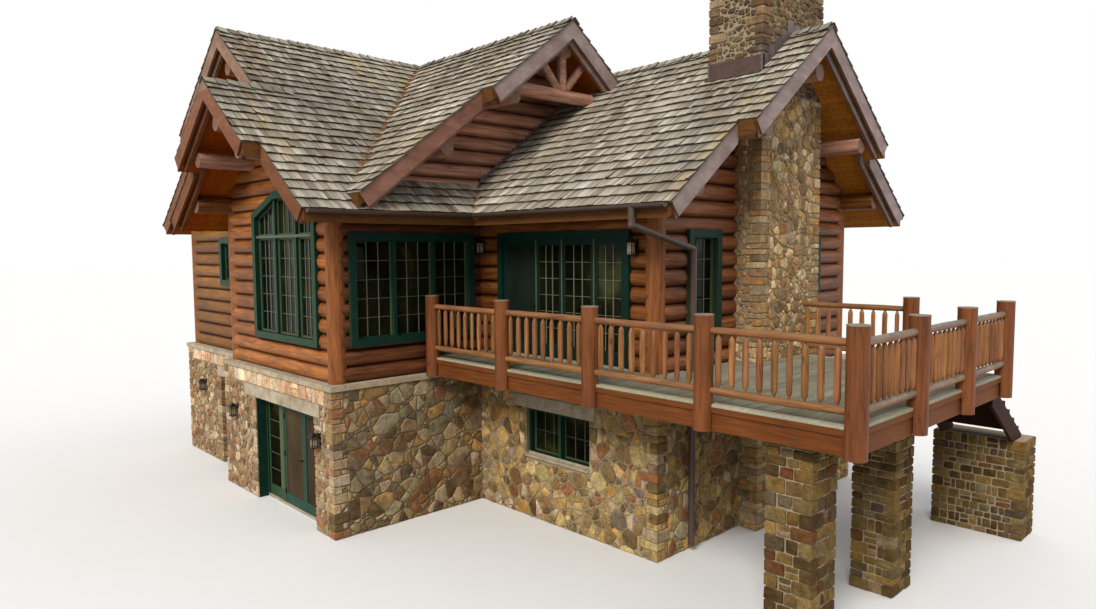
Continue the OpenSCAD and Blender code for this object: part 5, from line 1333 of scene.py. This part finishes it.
sw_x, sw_y = corner(-SO, -SO, -1, 401, True, CORNER)
nw_x, nw_y = corner(-SO, BAY_DEPTH + SO, 1, 402, False)
mn_x, mn_y = corner(BAY_OUT - SO, MAIN_DEPTH + SO, 1, 403, True)
patio_jambs = jamb(-SO, PATIO_Y1, -1, 404) + jamb(-SO, PATIO_Y0, 1, 405)
side_jambs = jamb(BAY_OUT - SO, SIDE_Y1, -1, 406) + jamb(BAY_OUT - SO, SIDE_Y0, 1, 407)
PATIO = [(PATIO_Y0, 0, PATIO_Y1, DOOR_H), (0.23, DOOR_H, 3.62, lintel_top)]
SIDE = [(SIDE_Y0, 0, SIDE_Y1, DOOR_H), (5.18, DOOR_H, 6.48, lintel_top)]
CREAM = [(0.858, 0.660, 0.451), (0.748, 0.550, 0.352), (0.902, 0.748, 0.550), (0.660, 0.473, 0.308),
         (0.825, 0.682, 0.506), (0.550, 0.374, 0.231)]
face(base, "S", -SO, -SO, WING_W - SO, seed=11, holes=sw_x, size=(0.060, 0.31), flat=1.6, slant=0.42,
     gap=0.006, spread=0.26)
bay_lo, bay_hi = -SO, BAY_DEPTH + SO
face(base, "W", -SO, bay_lo, bay_hi, z1=lintel_top, seed=12, tones=WEST_TONES, size=(0.050, 0.15), flat=1.3,
     holes=PATIO + sw_y + nw_y + patio_jambs)
face(base, "W", -SO, bay_lo, bay_hi, z0=lintel_top, seed=13, levels=[lintel_top, LEDGE_UNDER],
     wide=(0.2, 0.42), tones=CREAM, holes=sw_y + nw_y, split=0.15)
face(base, "N", BAY_DEPTH + SO, -SO, BAY_OUT - SO, seed=14, tones=WEST_TONES, holes=nw_x, size=(0.050, 0.15))
face(base, "W", BAY_OUT - SO, BAY_DEPTH + SO, MAIN_DEPTH + SO, z1=lintel_top, seed=15,
     size=(0.050, 0.15), flat=1.3, tones=WEST_TONES, holes=SIDE + mn_y + side_jambs)
face(base, "W", BAY_OUT - SO, BAY_DEPTH + SO, MAIN_DEPTH + SO, z0=lintel_top, seed=16,
     levels=[lintel_top, LEDGE_UNDER], wide=(0.2, 0.42), tones=CREAM, holes=mn_y, split=0.15)
base.piece("stones_west_and_south", STONE, slot="stone", smooth=24)

wing = Soup()
wing_corner = corner_rows(0, LEDGE_UNDER, 408)
ws_x, ws_y = quoins(wing, WING_W - SO, -WING_LEN - SO, -1, -1, wing_corner, (LONG, SHORT),
                    (SHORT, LONG), BROWN_TONES, 511)
se_x, se_y = quoins(wing, WING_E + SO, -WING_LEN - SO, 1, -1, wing_corner, (SHORT, LONG),
                    (LONG, SHORT), BROWN_TONES, 512)
face(wing, "W", WING_W - SO, -WING_LEN - SO, -SO, seed=21, size=(0.055, 0.21), flat=1.2, slant=-0.5,
     tones=BROWN_TONES, spread=0.28, holes=[(-3.29, 1.12, -1.63, 2.11), (-3.41, 2.11, -1.27, 2.35)] + ws_y)
face(wing, "S", -WING_LEN - SO, WING_W - SO, CH_X0, seed=22, size=(0.055, 0.21), flat=1.3, slant=-0.2,
     tones=BROWN_TONES, holes=ws_x)
face(wing, "S", -WING_LEN - SO, CH_X1, WING_E + SO, seed=23, size=(0.055, 0.21), flat=1.3, slant=0.2,
     tones=BROWN_TONES, holes=se_x)
wing.piece("stones_wing", STONE, slot="stone", smooth=24)

back = Soup()
ne_x, ne_y = quoins(back, WING_E + SO, MAIN_DEPTH + SO, 1, 1, corner_rows(0, LEDGE_UNDER, 409),
                    (LONG, SHORT), (SHORT, LONG), FIELD_TONES, 521)
face(back, "N", MAIN_DEPTH + SO, BAY_OUT - SO, WING_E + SO, seed=24, holes=mn_x + ne_x,
     size=(0.065, 0.29), flat=1.5, slant=0.3, tones=FIELD_TONES)
face(back, "E", WING_E + SO, -WING_LEN - SO, MAIN_DEPTH + SO, seed=25, size=(0.065, 0.29), flat=1.5,
     slant=-0.3, tones=FIELD_TONES, holes=se_y + ne_y)
back.piece("stones_north_and_east", STONE, slot="stone", smooth=24)

stack = Soup()
ch_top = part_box("chimney")[1].z
low_stack, high_stack = rows(0.0, CUT_Z, 0.09, 0.20, 410), rows(CUT_Z, ch_top, 0.08, 0.18, 411)
ch_rows = low_stack + high_stack[1:]
C_LONG, C_SHORT = (0.22, 0.36), (0.12, 0.20)
csw_x, csw_y = quoins(stack, CH_X0, CH_Y0, -1, -1, ch_rows, (C_LONG, C_SHORT),
                      (C_SHORT, C_LONG), STACK_TONES, 531)
cse_x, cse_y = quoins(stack, CH_X1, CH_Y0, 1, -1, ch_rows, (C_SHORT, C_LONG), (C_LONG, C_SHORT),
                      STACK_TONES, 532)
cnw_x, cnw_y = quoins(stack, CH_X0, CH_Y1, -1, 1, high_stack, (C_SHORT, C_LONG),
                      (C_LONG, C_SHORT), STACK_TONES, 533)
cne_x, cne_y = quoins(stack, CH_X1, CH_Y1, 1, 1, high_stack, (C_LONG, C_SHORT),
                      (C_SHORT, C_LONG), STACK_TONES, 534)
face(stack, "S", CH_Y0, CH_X0, CH_X1, z1=CUT_Z, seed=31, size=(0.048, 0.17), flat=1.35, slant=0.15,
     tones=STACK_TONES, holes=csw_x + cse_x)
face(stack, "S", CH_Y0, CH_X0, CH_X1, z0=CUT_Z, z1=ch_top, seed=35, size=(0.045, 0.15), flat=1.8,
     tones=HIGH_TONES, holes=csw_x + cse_x)
buried = [(-4.70, -0.1, -4.0, CUT_Z - 0.01)]
for kind, at, hs, sd in (("W", CH_X0, csw_y, 32), ("E", CH_X1, cse_y, 33)):
    face(stack, kind, at, CH_Y0, CH_Y1, z1=CUT_Z, seed=sd, size=(0.048, 0.16), flat=1.7,
         tones=STACK_TONES, holes=hs + buried)
# The upper side faces take the upper front's tones at four fifths: painted shade on the chimney's sides.
for kind, at, hs, sd in (("W", CH_X0, csw_y + cnw_y, 36), ("E", CH_X1, cse_y + cne_y, 37)):
    face(stack, kind, at, CH_Y0, CH_Y1, z0=CUT_Z, z1=ch_top, seed=sd, size=(0.042, 0.14), flat=2.2,
         tones=[(r * 0.8, g * 0.8, b * 0.8) for r, g, b in HIGH_TONES], holes=hs)
face(stack, "N", CH_Y1, CH_X0, CH_X1, z0=CUT_Z, z1=ch_top, seed=34, size=(0.045, 0.15), flat=1.8,
     tones=HIGH_TONES, holes=cnw_x + cne_x)
stack.piece("stones_chimney", STONE, slot="stone", smooth=24)

piers = Soup()
PIER_TOP = DECK_Z - DECK_T - 0.22


def stone_block(soup, x0, y0, x1, y1, top, seed, long, short, tones):
    """A free-standing pier of squared stones."""
    levels = rows(0.0, top, 0.10, 0.22, seed)
    hs = {k: [] for k in "SNWE"}
    for j, (cx, cy, sx, sy_) in enumerate(((x0, y0, -1, -1), (x1, y0, 1, -1), (x1, y1, 1, 1),
                                           (x0, y1, -1, 1))):
        a, b = (long, short) if j % 2 == 0 else (short, long)
        hx, hy = quoins(soup, cx, cy, sx, sy_, levels, (a, b), (b, a), tones, seed * 7 + j, 0.024)
        hs["S" if sy_ < 0 else "N"] += hx
        hs["W" if sx < 0 else "E"] += hy
    for kind, at, lo, hi in (("S", y0, x0, x1), ("N", y1, x0, x1), ("W", x0, y0, y1), ("E", x1, y0, y1)):
        face(soup, kind, at, lo, hi, z1=top, seed=seed + ord(kind), levels=levels, wide=(0.12, 0.26),
             tones=tones, holes=hs[kind], split=0.3, proud=0.022)


# The piers' stones at under half the brown tones: painted shade under the deck.
PIER_TONES_PAINTED_SHADE = [(r * 0.42, g * 0.40, b * 0.36) for r, g, b in BROWN_TONES]
PIER_LONG, PIER_SHORT = (0.22, 0.28), (0.12, 0.18)
for outline, top, seed in (((2.05, -7.98, 2.65, -7.38), PIER_TOP, 41),
                           ((4.52, -7.98, 5.12, -7.38), PIER_TOP, 42),
                           ((8.305, -8.63, 8.925, -7.18), 1.755, 43)):
    stone_block(piers, *outline, top, seed, PIER_LONG, PIER_SHORT, PIER_TONES_PAINTED_SHADE)
piers.piece("stones_piers", STONE, slot="stone", smooth=24)

# ------------------------------------------------------------------ windows and doors
CASING_N = LOG_R + 0.012
EDGE = 0.09 + 0.045
HEAD = 5.44
GLASS_B = -CASING_N + 0.110


def on_wall(kind, x, y):
    """Places points whose a runs along the wall, b into the building, as the part's source does."""
    if kind == "S":
        return lambda p: (x + p[0], y + p[1], p[2])
    if kind == "W":
        return lambda p: (x + p[1], y - p[0], p[2])
    if kind == "N":
        return lambda p: (x - p[0], y - p[1], p[2])
    return lambda p: (x - p[1], y + p[0], p[2])


def offset(poly, w):
    """A convex outline moved in by w, corner for corner."""
    n = len(poly)
    lines = []
    for i in range(n):
        p, q = poly[i], poly[(i + 1) % n]
        length = math.hypot(q[0] - p[0], q[1] - p[1])
        nx, nz = (q[1] - p[1]) / length, -(q[0] - p[0]) / length
        lines.append((nx, nz, nx * p[0] + nz * p[1] - w))
    out = []
    for i in range(n):
        a, b = lines[i - 1], lines[i]
        det = a[0] * b[1] - a[1] * b[0]
        out.append(((a[2] * b[1] - a[1] * b[2]) / det, (a[0] * b[2] - a[2] * b[0]) / det))
    return out


def sash(soup, place, outline, w, b0, b1, mat=0):
    """A moulded frame round an outline that runs anticlockwise seen from outside."""
    rings = [(offset(outline, o), b) for o, b in ((0, b1), (0, b0 + 0.004), (0.004, b0), (w - 0.011, b0),
                                                  (w - 0.008, b0 + 0.010), (w, b0 + 0.014), (w, b1))]
    n = len(outline)
    v = [place((a, b, z)) for ring, b in rings for a, z in ring]
    f = [(k * n + i, k * n + (i + 1) % n, (k + 1) * n + (i + 1) % n, (k + 1) * n + i)
         for k in range(len(rings) - 1) for i in range(n)]
    soup.add(v, f, mat=mat)


def bars(soup, place, a0, a1, z0, z1, cols, rows_, b, t=0.018, mat=1, w=0.017, head=None):
    """Pane bars over a light; head gives the light's height where it isn't level."""
    for i in range(1, cols):
        a = a0 + (a1 - a0) * i / cols
        soup.box((a - w / 2, b, z0), (a + w / 2, b + t, head(a) if head else z1), chamfer=0.005,
                 place=place, mat=mat)
    for i in range(1, rows_):
        z = z0 + (z1 - z0) * i / rows_
        soup.box((a0, b + 0.004, z - w * 0.30), (a1, b + t - 0.001, z + w * 0.30), chamfer=0.004,
                 place=place, mat=mat)


def light(soup, place, a0, a1, z0, z1, cols, rows_, w=0.026, glass=GLASS_B, mats=(0, 1)):
    sash(soup, place, [(a0, z0), (a1, z0), (a1, z1), (a0, z1)], w, glass - 0.046, glass - 0.0008, mats[0])
    bars(soup, place, a0 + w - 0.004, a1 - w + 0.004, z0 + w, z1 - w, cols, rows_, glass - 0.014,
         t=0.012, mat=mats[1])


def window(soup, place, w, z0, z1, mullions, cols, rows_):
    xs = [EDGE] + [m + s for m in mullions for s in (-0.035, 0.035)] + [w - EDGE]
    for i in range(0, len(xs), 2):
        light(soup, place, xs[i], xs[i + 1], z0 + EDGE, z1 - EDGE, cols, rows_)


glazing = Soup()
window(glazing, on_wall("S", 0.185, 0), 2.78, 3.39, HEAD, [0.94, 1.82], 3, 5)
window(glazing, on_wall("W", BAY_OUT, 6.25), 0.72, 4.31, HEAD, [], 2, 3)
window(glazing, on_wall("S", WING_W + 0.66, -WING_LEN), 0.945, 3.39, HEAD, [], 3, 5)
window(glazing, on_wall("S", CH_X1 + 0.03, -WING_LEN), 0.945, 4.2, HEAD, [], 3, 3)
for i in (1, 2, 3):
    window(glazing, on_wall("N", BAY_OUT + (WING_E - BAY_OUT) * i / 4 + 0.75, MAIN_DEPTH), 1.5, 4.0, HEAD,
           [0.75], 3, 4)
for y in (-WING_LEN / 2, MAIN_DEPTH * 0.25, MAIN_DEPTH * 0.72):
    window(glazing, on_wall("E", WING_E, y - 0.75), 1.5, 4.0, HEAD, [0.75], 3, 4)

# The bay window: three tall lights, a pale transom and three lights under the raking head
bay = on_wall("W", 0, 3.085)
BAY_W = 2.74


def bay_head(a):
    return min(5.776 + (a - EDGE) * (6.125 - 5.776) / (1.04 - EDGE), 6.125,
               5.776 + (BAY_W - EDGE - a) * (6.125 - 5.776) / (BAY_W - EDGE - 1.70))


for a0, a1 in ((EDGE, 0.965), (1.035, 1.86), (1.93, BAY_W - EDGE)):
    light(glazing, bay, a0, a1, 3.37 + EDGE, 5.37, 4, 5, w=0.034)
    z0 = 5.43
    tops = [(a1, bay_head(a1) - 0.002)] + [(a, bay_head(a) - 0.002) for a in (1.70, 1.04)
                                           if a0 < a < a1] + [(a0, bay_head(a0) - 0.002)]
    sash(glazing, bay, [(a0, z0), (a1, z0)] + tops, 0.026, GLASS_B - 0.046, GLASS_B - 0.0008)
    bars(glazing, bay, a0 + 0.024, a1 - 0.024, z0 + 0.024, 0, 4, 1, GLASS_B - 0.014, t=0.012,
         head=lambda a: bay_head(a) - 0.016)
glazing.box((EDGE, -CASING_N + 0.002, 5.372), (BAY_W - EDGE, -CASING_N + 0.012, 5.428), chamfer=0.004,
            place=bay, mat=2)

# Basement window
low = on_wall("W", WING_W, -1.63)
for a0, a1 in ((0.045, 0.8075), (0.8525, 1.615)):
    light(glazing, low, a0, a1, 1.26, 2.065, 3, 2, w=0.03, glass=-0.025, mats=(0, 0))
glazing.box((0.0, -0.187, 1.2148), (1.66, -0.1845, 1.258), chamfer=0.001, place=low, mat=3)

# Deck doors: a screened leaf and three glazed leaves
doors = on_wall("W", WING_W, -0.75)
leaf = [EDGE + q * (3.4 - 2 * EDGE) for q in (0, 0.3, 0.52, 0.775, 1)]
for i in range(4):
    a0, a1 = leaf[i] + 0.085, leaf[i + 1] - 0.085
    if i == 0:
        bars(glazing, doors, a0, a1, 3.365, 5.195, 3, 6, -0.1305, t=0.007, mat=0)
    else:
        bars(glazing, doors, a0, a1, 3.365, 5.195, 3, 6, -0.1365, t=0.013)
for i in (1, 2, 3):
    glazing.box((leaf[i] - 0.022, -0.146, 3.118), (leaf[i] + 0.010, -0.1366, 5.303), chamfer=0.004,
                place=doors)
    # A thin black strip at each leaf's edge: a painted shadow for the gap between leaves.
    glazing.box((leaf[i] + 0.0115, -0.1376, 3.118), (leaf[i] + 0.0145, -0.1366, 5.303), place=doors, mat=4)
for i, s in ((0, 1), (3, -1)):
    h = leaf[i + (s > 0)] - s * 0.048
    glazing.box((h - 0.017, -0.1425, 3.98), (h + 0.017, -0.1367, 4.16), chamfer=0.004, place=doors, mat=4)
    glazing.tube([doors(p) for p in ((h, -0.138, 4.09), (h, -0.176, 4.09), (h - s * 0.03, -0.182, 4.088),
                                     (h - s * 0.105, -0.182, 4.084))], [0.009, 0.009, 0.010, 0.008], 10,
                 mat=4)

# Patio fixed light: five panes, a wide stile beside the leaves, and the lining of the stone jamb
patio = on_wall("W", -0.04, 3.06)
glazing.box((0.575, 0.0316, 0.27), (0.724, 0.0432, 1.985), chamfer=0.003, place=patio)
bars(glazing, patio, 0.125, 0.575, 0.28, 1.975, 1, 5, 0.0325, t=0.011, mat=0, w=0.028)
glazing.box((-0.237, 3.037, 0.001), (-0.042, 3.0588, 2.1185), chamfer=0.004, mat=5)
glazing.piece("window_bars", (GREEN_BAR, PALE_BAR, TRANSOM, SILL, BLACK, GREEN), slot="green_wood")

# The mesh over the first deck door leaf
mesh = Soup()
mesh.box((leaf[0] + 0.083, -0.1342, 3.363), (leaf[1] - 0.083, -0.1330, 5.197), place=doors)
mesh.piece("deck_door_mesh", DARK_SCREEN, slot="green_wood")

# ------------------------------------------------------------------ lanterns
lamps = Soup()


LAMP_OUT, LAMP_POST = 0.12, 0.0475


def lantern(kind, x, y, z):
    """LAMP_OUT is its axis's distance from the wall, LAMP_POST that of the corner posts from the axis."""
    put = on_wall(kind, x, y)

    def at(p):
        return put((p[0], p[1], p[2] + z))

    def square(profile, mat):
        """A square body from (half width, height) pairs, round the lantern's axis."""
        v, f = [], []
        for h, q in profile:
            v += [at((sx * h, -LAMP_OUT + s_y * h, q)) for sx, s_y in ((-1, -1), (1, -1), (1, 1), (-1, 1))]
        for k in range(len(profile) - 1):
            f += [(k * 4 + i, k * 4 + (i + 1) % 4, k * 4 + 4 + (i + 1) % 4, k * 4 + 4 + i) for i in range(4)]
        f += [(3, 2, 1, 0), tuple(len(v) - 4 + i for i in range(4))]
        lamps.add(v, f, mat=mat)

    lamps.box((-0.055, -0.013, -0.06), (0.055, -0.0005, 0.25), chamfer=0.006, place=at)
    lamps.box((-0.040, -0.019, -0.045), (0.040, -0.012, 0.235), chamfer=0.005, place=at)
    lamps.tube([at(p) for p in ((0, -0.015, 0.12), (0, -0.045, 0.165), (0, -0.060, 0.205),
                                (0, -0.085, 0.232), (0, -0.118, 0.236))], 0.008, 8)
    lamps.tube([at(p) for p in ((0, -0.012, 0.215), (0, -0.125, 0.215))], 0.008, 8)
    square([(0.020, -0.046), (0.030, -0.040), (0.056, -0.034), (0.062, -0.026), (0.062, -0.018),
            (0.052, -0.014)], 0)
    square([(0.044, -0.016), (0.044, 0.176)], 1)
    square([(0.058, 0.168), (0.088, 0.174), (0.092, 0.180), (0.089, 0.187), (0.060, 0.205),
            (0.032, 0.232), (0.020, 0.240), (0.020, 0.246), (0.010, 0.252)], 0)

    def bar(x, y, hx, hy, z0, z1, chamfer=0.0):
        lamps.box((x - hx, -LAMP_OUT + y - hy, z0), (x + hx, -LAMP_OUT + y + hy, z1), chamfer=chamfer,
                  place=at)

    for sx in (-LAMP_POST, LAMP_POST):
        for s_y in (-LAMP_POST, LAMP_POST):
            bar(sx, s_y, 0.006, 0.006, -0.016, 0.172, 0.002)
    for q in (0.010, 0.130):
        for s in (-LAMP_POST, LAMP_POST):
            bar(0, s, 0.047, 0.0035, q - 0.0035, q + 0.0035)
            bar(s, 0, 0.0035, 0.047, q - 0.0035, q + 0.0035)
    for s in (-LAMP_POST, LAMP_POST):
        bar(0, s, 0.003, 0.003, -0.016, 0.172)
        bar(s, 0, 0.003, 0.003, -0.016, 0.172)


lantern("S", WING_W - LOG_R - 0.1, -LOG_R, 5.08)
lantern("W", WING_W - LOG_R, -0.75 - 3.4 - 0.12, 5.05)
lantern("W", -SO, 0.26, 1.62)
lantern("W", -SO, 4.02, 1.62)
lantern("W", BAY_OUT - SO, 7.28, 1.70)
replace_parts(lamps.piece("lantern_cages", (BRONZE, LAMP_GLASS), slot="bronze"), "lanterns")

# ------------------------------------------------------------------ railings
RAIL_Z0, RAIL_Z1 = 3.27, 4.055
rnd_r = random.Random(2024)


def branch(soup, p0, p1, profile, rnd, sides, bow, tone):
    """A peeled pole from p0 to p1, bowed and uneven: profile is (part of the length, radius) pairs."""
    p0, p1 = Vector(p0), Vector(p1)
    d = (p1 - p0).normalized()
    u = d.cross(Vector((0.3, 0.5, 0.8))).normalized()
    w = d.cross(u)
    bu, bw_ = rnd.uniform(-bow, bow), rnd.uniform(-bow, bow)
    pts, radii = [], []
    for t, r in profile:
        k = math.sin(math.pi * t)
        pts.append(p0.lerp(p1, t) + u * (bu * k) + w * (bw_ * k))
        radii.append(r * rnd.uniform(0.95, 1.05) if r > 0.03 else r)
    soup.tube(pts, radii, sides, tone, seed=rnd.random())


def panel(x, y, dx, dy, length, ends, rails, posts):
    a, b = (0.115 if ends[0] else 0.0), (0.115 if ends[1] else 0.0)
    a2, b2 = (0.13 if ends[0] else 0.0), (0.13 if ends[1] else 0.0)
    for z in (RAIL_Z0, RAIL_Z1):
        g = rnd_r.uniform(0.85, 1.12)
        tone = (g, g * rnd_r.uniform(0.94, 1.04), g * rnd_r.uniform(0.9, 1.05))
        prof = [(0, 0.040), (0.02, 0.047), (0.05, 0.050), (0.2, 0.051), (0.35, 0.049), (0.5, 0.051),
                (0.65, 0.050), (0.8, 0.051), (0.95, 0.050), (0.98, 0.047), (1, 0.040)]
        branch(rails, (x + dx * a, y + dy * a, z), (x + dx * (length - b), y + dy * (length - b), z),
               prof, rnd_r, 14, 0.007, tone)
    pitch = (length - a2 - b2) / 9
    for i in range(9):
        s = a2 + (i + 0.5) * pitch
        g = rnd_r.uniform(0.72, 1.18)
        tone = (g, g * rnd_r.uniform(0.90, 1.06), g * rnd_r.uniform(0.82, 1.12))
        r = rnd_r.uniform(0.0355, 0.0445)
        q = 0.785
        prof = [(0, 0.016), (0.055 / q, 0.016), (0.068 / q, r * 0.52), (0.092 / q, r * 0.80),
                (0.125 / q, r * 0.97), (0.20 / q, r), (0.36 / q, r * 1.03), (0.50 / q, r), (0.62 / q, r),
                (0.665 / q, r * 0.97), (0.695 / q, r * 0.82), (0.718 / q, r * 0.55), (0.730 / q, 0.016),
                (1, 0.016)]
        branch(posts, (x + dx * s, y + dy * s, RAIL_Z0), (x + dx * s, y + dy * s, RAIL_Z1), prof, rnd_r,
               12, 0.004, tone)


rails_x, rails_y, balusters = Soup(), Soup(), Soup()
DECK_X, DECK_Y, DECK_E = 1.79, -8.63, 7.025
for i in range(4):
    panel(DECK_X, -FIRST_POST - WEST_BAY * i, 0, -1, WEST_BAY, (1, 1), rails_y, balusters)
for i in range(3):
    panel(DECK_X + SOUTH_BAY * i, DECK_Y, 1, 0, SOUTH_BAY, (1, 1), rails_x, balusters)
panel(DECK_E, STAIR_Y, 0, 1, CH_Y0 - 0.001 - STAIR_Y, (1, 0), rails_y, balusters)
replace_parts(rails_x.piece("rails_south", RAIL["x"], slot="rail_wood", smooth=50), "deck_rails")
rails_y.piece("rails_west_and_east", RAIL["y"], slot="rail_wood", smooth=50)
balusters.piece("balusters", RAIL["z"], slot="rail_wood", smooth=50)

# ------------------------------------------------------------------ deck boards
boards = Soup()
rnd_d = random.Random(77)
PLANK, GAP = 0.138, 0.006
top, under = DECK_Z, DECK_Z - DECK_T


def plank(x0, y0, x1, y1, pale=0.0):
    g = rnd_d.uniform(0.82, 1.14) * (1 + pale)
    tone = (g, g * rnd_d.uniform(0.97, 1.03), g * rnd_d.uniform(0.93, 1.05))
    boards.box((x0, y0, under), (x1, y1, top - rnd_d.uniform(0, 0.0015)), tone, 0.005, seed=rnd_d.random())


def board_row(x0, x1, y0, y1):
    """One row from x0 to x1, with butt joints in places."""
    cuts = [x0]
    while x1 - cuts[-1] > 3.4:
        cuts.append(cuts[-1] + rnd_d.uniform(1.6, 3.2))
    if x1 - cuts[-1] < 0.5 and len(cuts) > 1:
        cuts.pop()
    cuts.append(x1)
    for a, b in zip(cuts, cuts[1:]):
        plank(a + 0.0015, y0, b - 0.0015, y1)


edge_w = 0.136
wall_y, wall_x = -LOG_R - 0.005, WING_W - LOG_R - 0.005
wing_y, stack_x, stack_y = -WING_LEN - LOG_R - 0.005, CH_X0 - 0.005, CH_Y0 - 0.005
# Pale boards along the edges, their joints at the posts
ys = [wall_y] + [-FIRST_POST - WEST_BAY * i for i in (1, 2, 3)] + [DECK_Y]
for b, a in zip(ys, ys[1:]):
    plank(DECK_X, a + 0.001, DECK_X + edge_w, b - 0.001, 0.55)
xs = [DECK_X + edge_w + 0.004] + [DECK_X + SOUTH_BAY * i for i in (1, 2)] + [DECK_E]
for a, b in zip(xs, xs[1:]):
    plank(a + 0.001, DECK_Y, b - 0.001, DECK_Y + edge_w, 0.55)
plank(DECK_E - edge_w, DECK_Y + edge_w + 0.004, DECK_E, stack_y, 0.55)
y = DECK_Y + edge_w + GAP
inner_x = DECK_X + edge_w + GAP
# The boards are cut round this inner post
POST_X, POST_Y = 3.85, -4.91
while y < wall_y - 0.02:
    y1 = min(y + PLANK, wall_y)
    for limit in (stack_y, wing_y):
        if y < limit < y1 and limit - y > 0.03:
            y1 = limit
    east = DECK_E - edge_w - GAP if y1 <= stack_y + 0.001 else stack_x if y1 <= wing_y + 0.001 else wall_x
    if y < POST_Y + 0.07 and y1 > POST_Y - 0.07:
        board_row(inner_x, POST_X - 0.072, y, y1)
        board_row(POST_X + 0.072, east, y, y1)
    else:
        board_row(inner_x, east, y, y1)
    y = y1 + GAP
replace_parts(boards.piece("deck_planks", DECK_BOARD, slot="deck_wood"), "deck_boards")

# ------------------------------------------------------------------ stage, light, camera
def seen_rays(tree):
    """1 for camera, mirror and glass rays, which see the pale studio; 0 for the rays that light the house."""
    path = tree.nodes.new("ShaderNodeLightPath")
    seen = path.outputs["Is Camera Ray"]
    for ray in ("Is Glossy Ray", "Is Transmission Ray"):
        most = tree.nodes.new("ShaderNodeMath")
        most.operation = "MAXIMUM"
        tree.links.new(seen, most.inputs[0])
        tree.links.new(path.outputs[ray], most.inputs[1])
        seen = most.outputs[0]
    return seen


stage_mat = Mat("studio_floor", 0.95, 0.05)
pale_floor = stage_mat.ramp(stage_mat.noise(2.0, 3, 0.5),
                            [(0.3, (0.835, 0.842, 0.850)), (0.7, (0.845, 0.852, 0.860))])
stage_mat.done(stage_mat.mix((0.38, 0.37, 0.35), pale_floor, seen_rays(stage_mat.t)))
me = bpy.data.meshes.new("studio_floor")
R = 260.0
me.from_pydata([(-R, -R, -0.002), (R, -R, -0.002), (R, R, -0.002), (-R, R, -0.002)], [], [(0, 1, 2, 3)])
me.materials.append(stage_mat.m)
floor = bpy.data.objects.new("studio_floor", me)
bpy.context.scene.collection.objects.link(floor)

world = bpy.data.worlds.new("studio")
bpy.context.scene.world = world
world.use_nodes = True
wt = world.node_tree
bg = wt.nodes["Background"]
bg.inputs["Color"].default_value = (0.985, 0.985, 1.0, 1)
bg.inputs["Strength"].default_value = 0.62
back_bg = wt.nodes.new("ShaderNodeBackground")
back_bg.inputs["Color"].default_value = (1.0, 1.0, 1.0, 1)
back_bg.inputs["Strength"].default_value = 1.0
mixer = wt.nodes.new("ShaderNodeMixShader")
wt.links.new(seen_rays(wt), mixer.inputs[0])
wt.links.new(bg.outputs[0], mixer.inputs[1])
wt.links.new(back_bg.outputs[0], mixer.inputs[2])
wt.links.new(mixer.outputs[0], wt.nodes["World Output"].inputs["Surface"])


def sun(name, energy, angle, direction, color):
    d = bpy.data.lights.new(name, "SUN")
    d.energy, d.angle, d.color = energy, angle, color
    o = bpy.data.objects.new(name, d)
    bpy.context.scene.collection.objects.link(o)
    o.rotation_mode = "QUATERNION"
    o.rotation_quaternion = Vector(direction).to_track_quat("-Z", "Y")


sun("key", 2.6, math.radians(24), (0.78, 0.33, -0.68), (1.0, 0.95, 0.87))
sun("fill", 0.5, math.radians(60), (-0.6, 0.55, -0.45), (0.92, 0.96, 1.0))

# The photo's camera, from its two vanishing directions
FOCAL_PX, PHOTO_W = 758.65, 1096
EYE = (-6.4872, -12.3624, 5.1148)
cam = bpy.data.cameras.new("camera")
cam.sensor_width = 36.0
cam.lens = FOCAL_PX / PHOTO_W * 36.0
cam.clip_start, cam.clip_end = 0.1, 500
co = bpy.data.objects.new("camera", cam)
bpy.context.scene.collection.objects.link(co)
yaw, pitch, roll = math.radians(46.6385), math.radians(4.1332), math.radians(0.3395)
F = Vector((math.cos(pitch) * math.cos(yaw), math.cos(pitch) * math.sin(yaw), -math.sin(pitch)))
Rt = Vector((math.sin(yaw), -math.cos(yaw), 0))
D = F.cross(Rt)
R2 = Rt * math.cos(roll) + D * math.sin(roll)
D2 = -Rt * math.sin(roll) + D * math.cos(roll)
co.matrix_world = Matrix(((R2.x, -D2.x, -F.x, EYE[0]), (R2.y, -D2.y, -F.y, EYE[1]),
                          (R2.z, -D2.z, -F.z, EYE[2]), (0, 0, 0, 1)))
bpy.context.scene.camera = co
bpy.context.scene.view_settings.view_transform = "Standard"
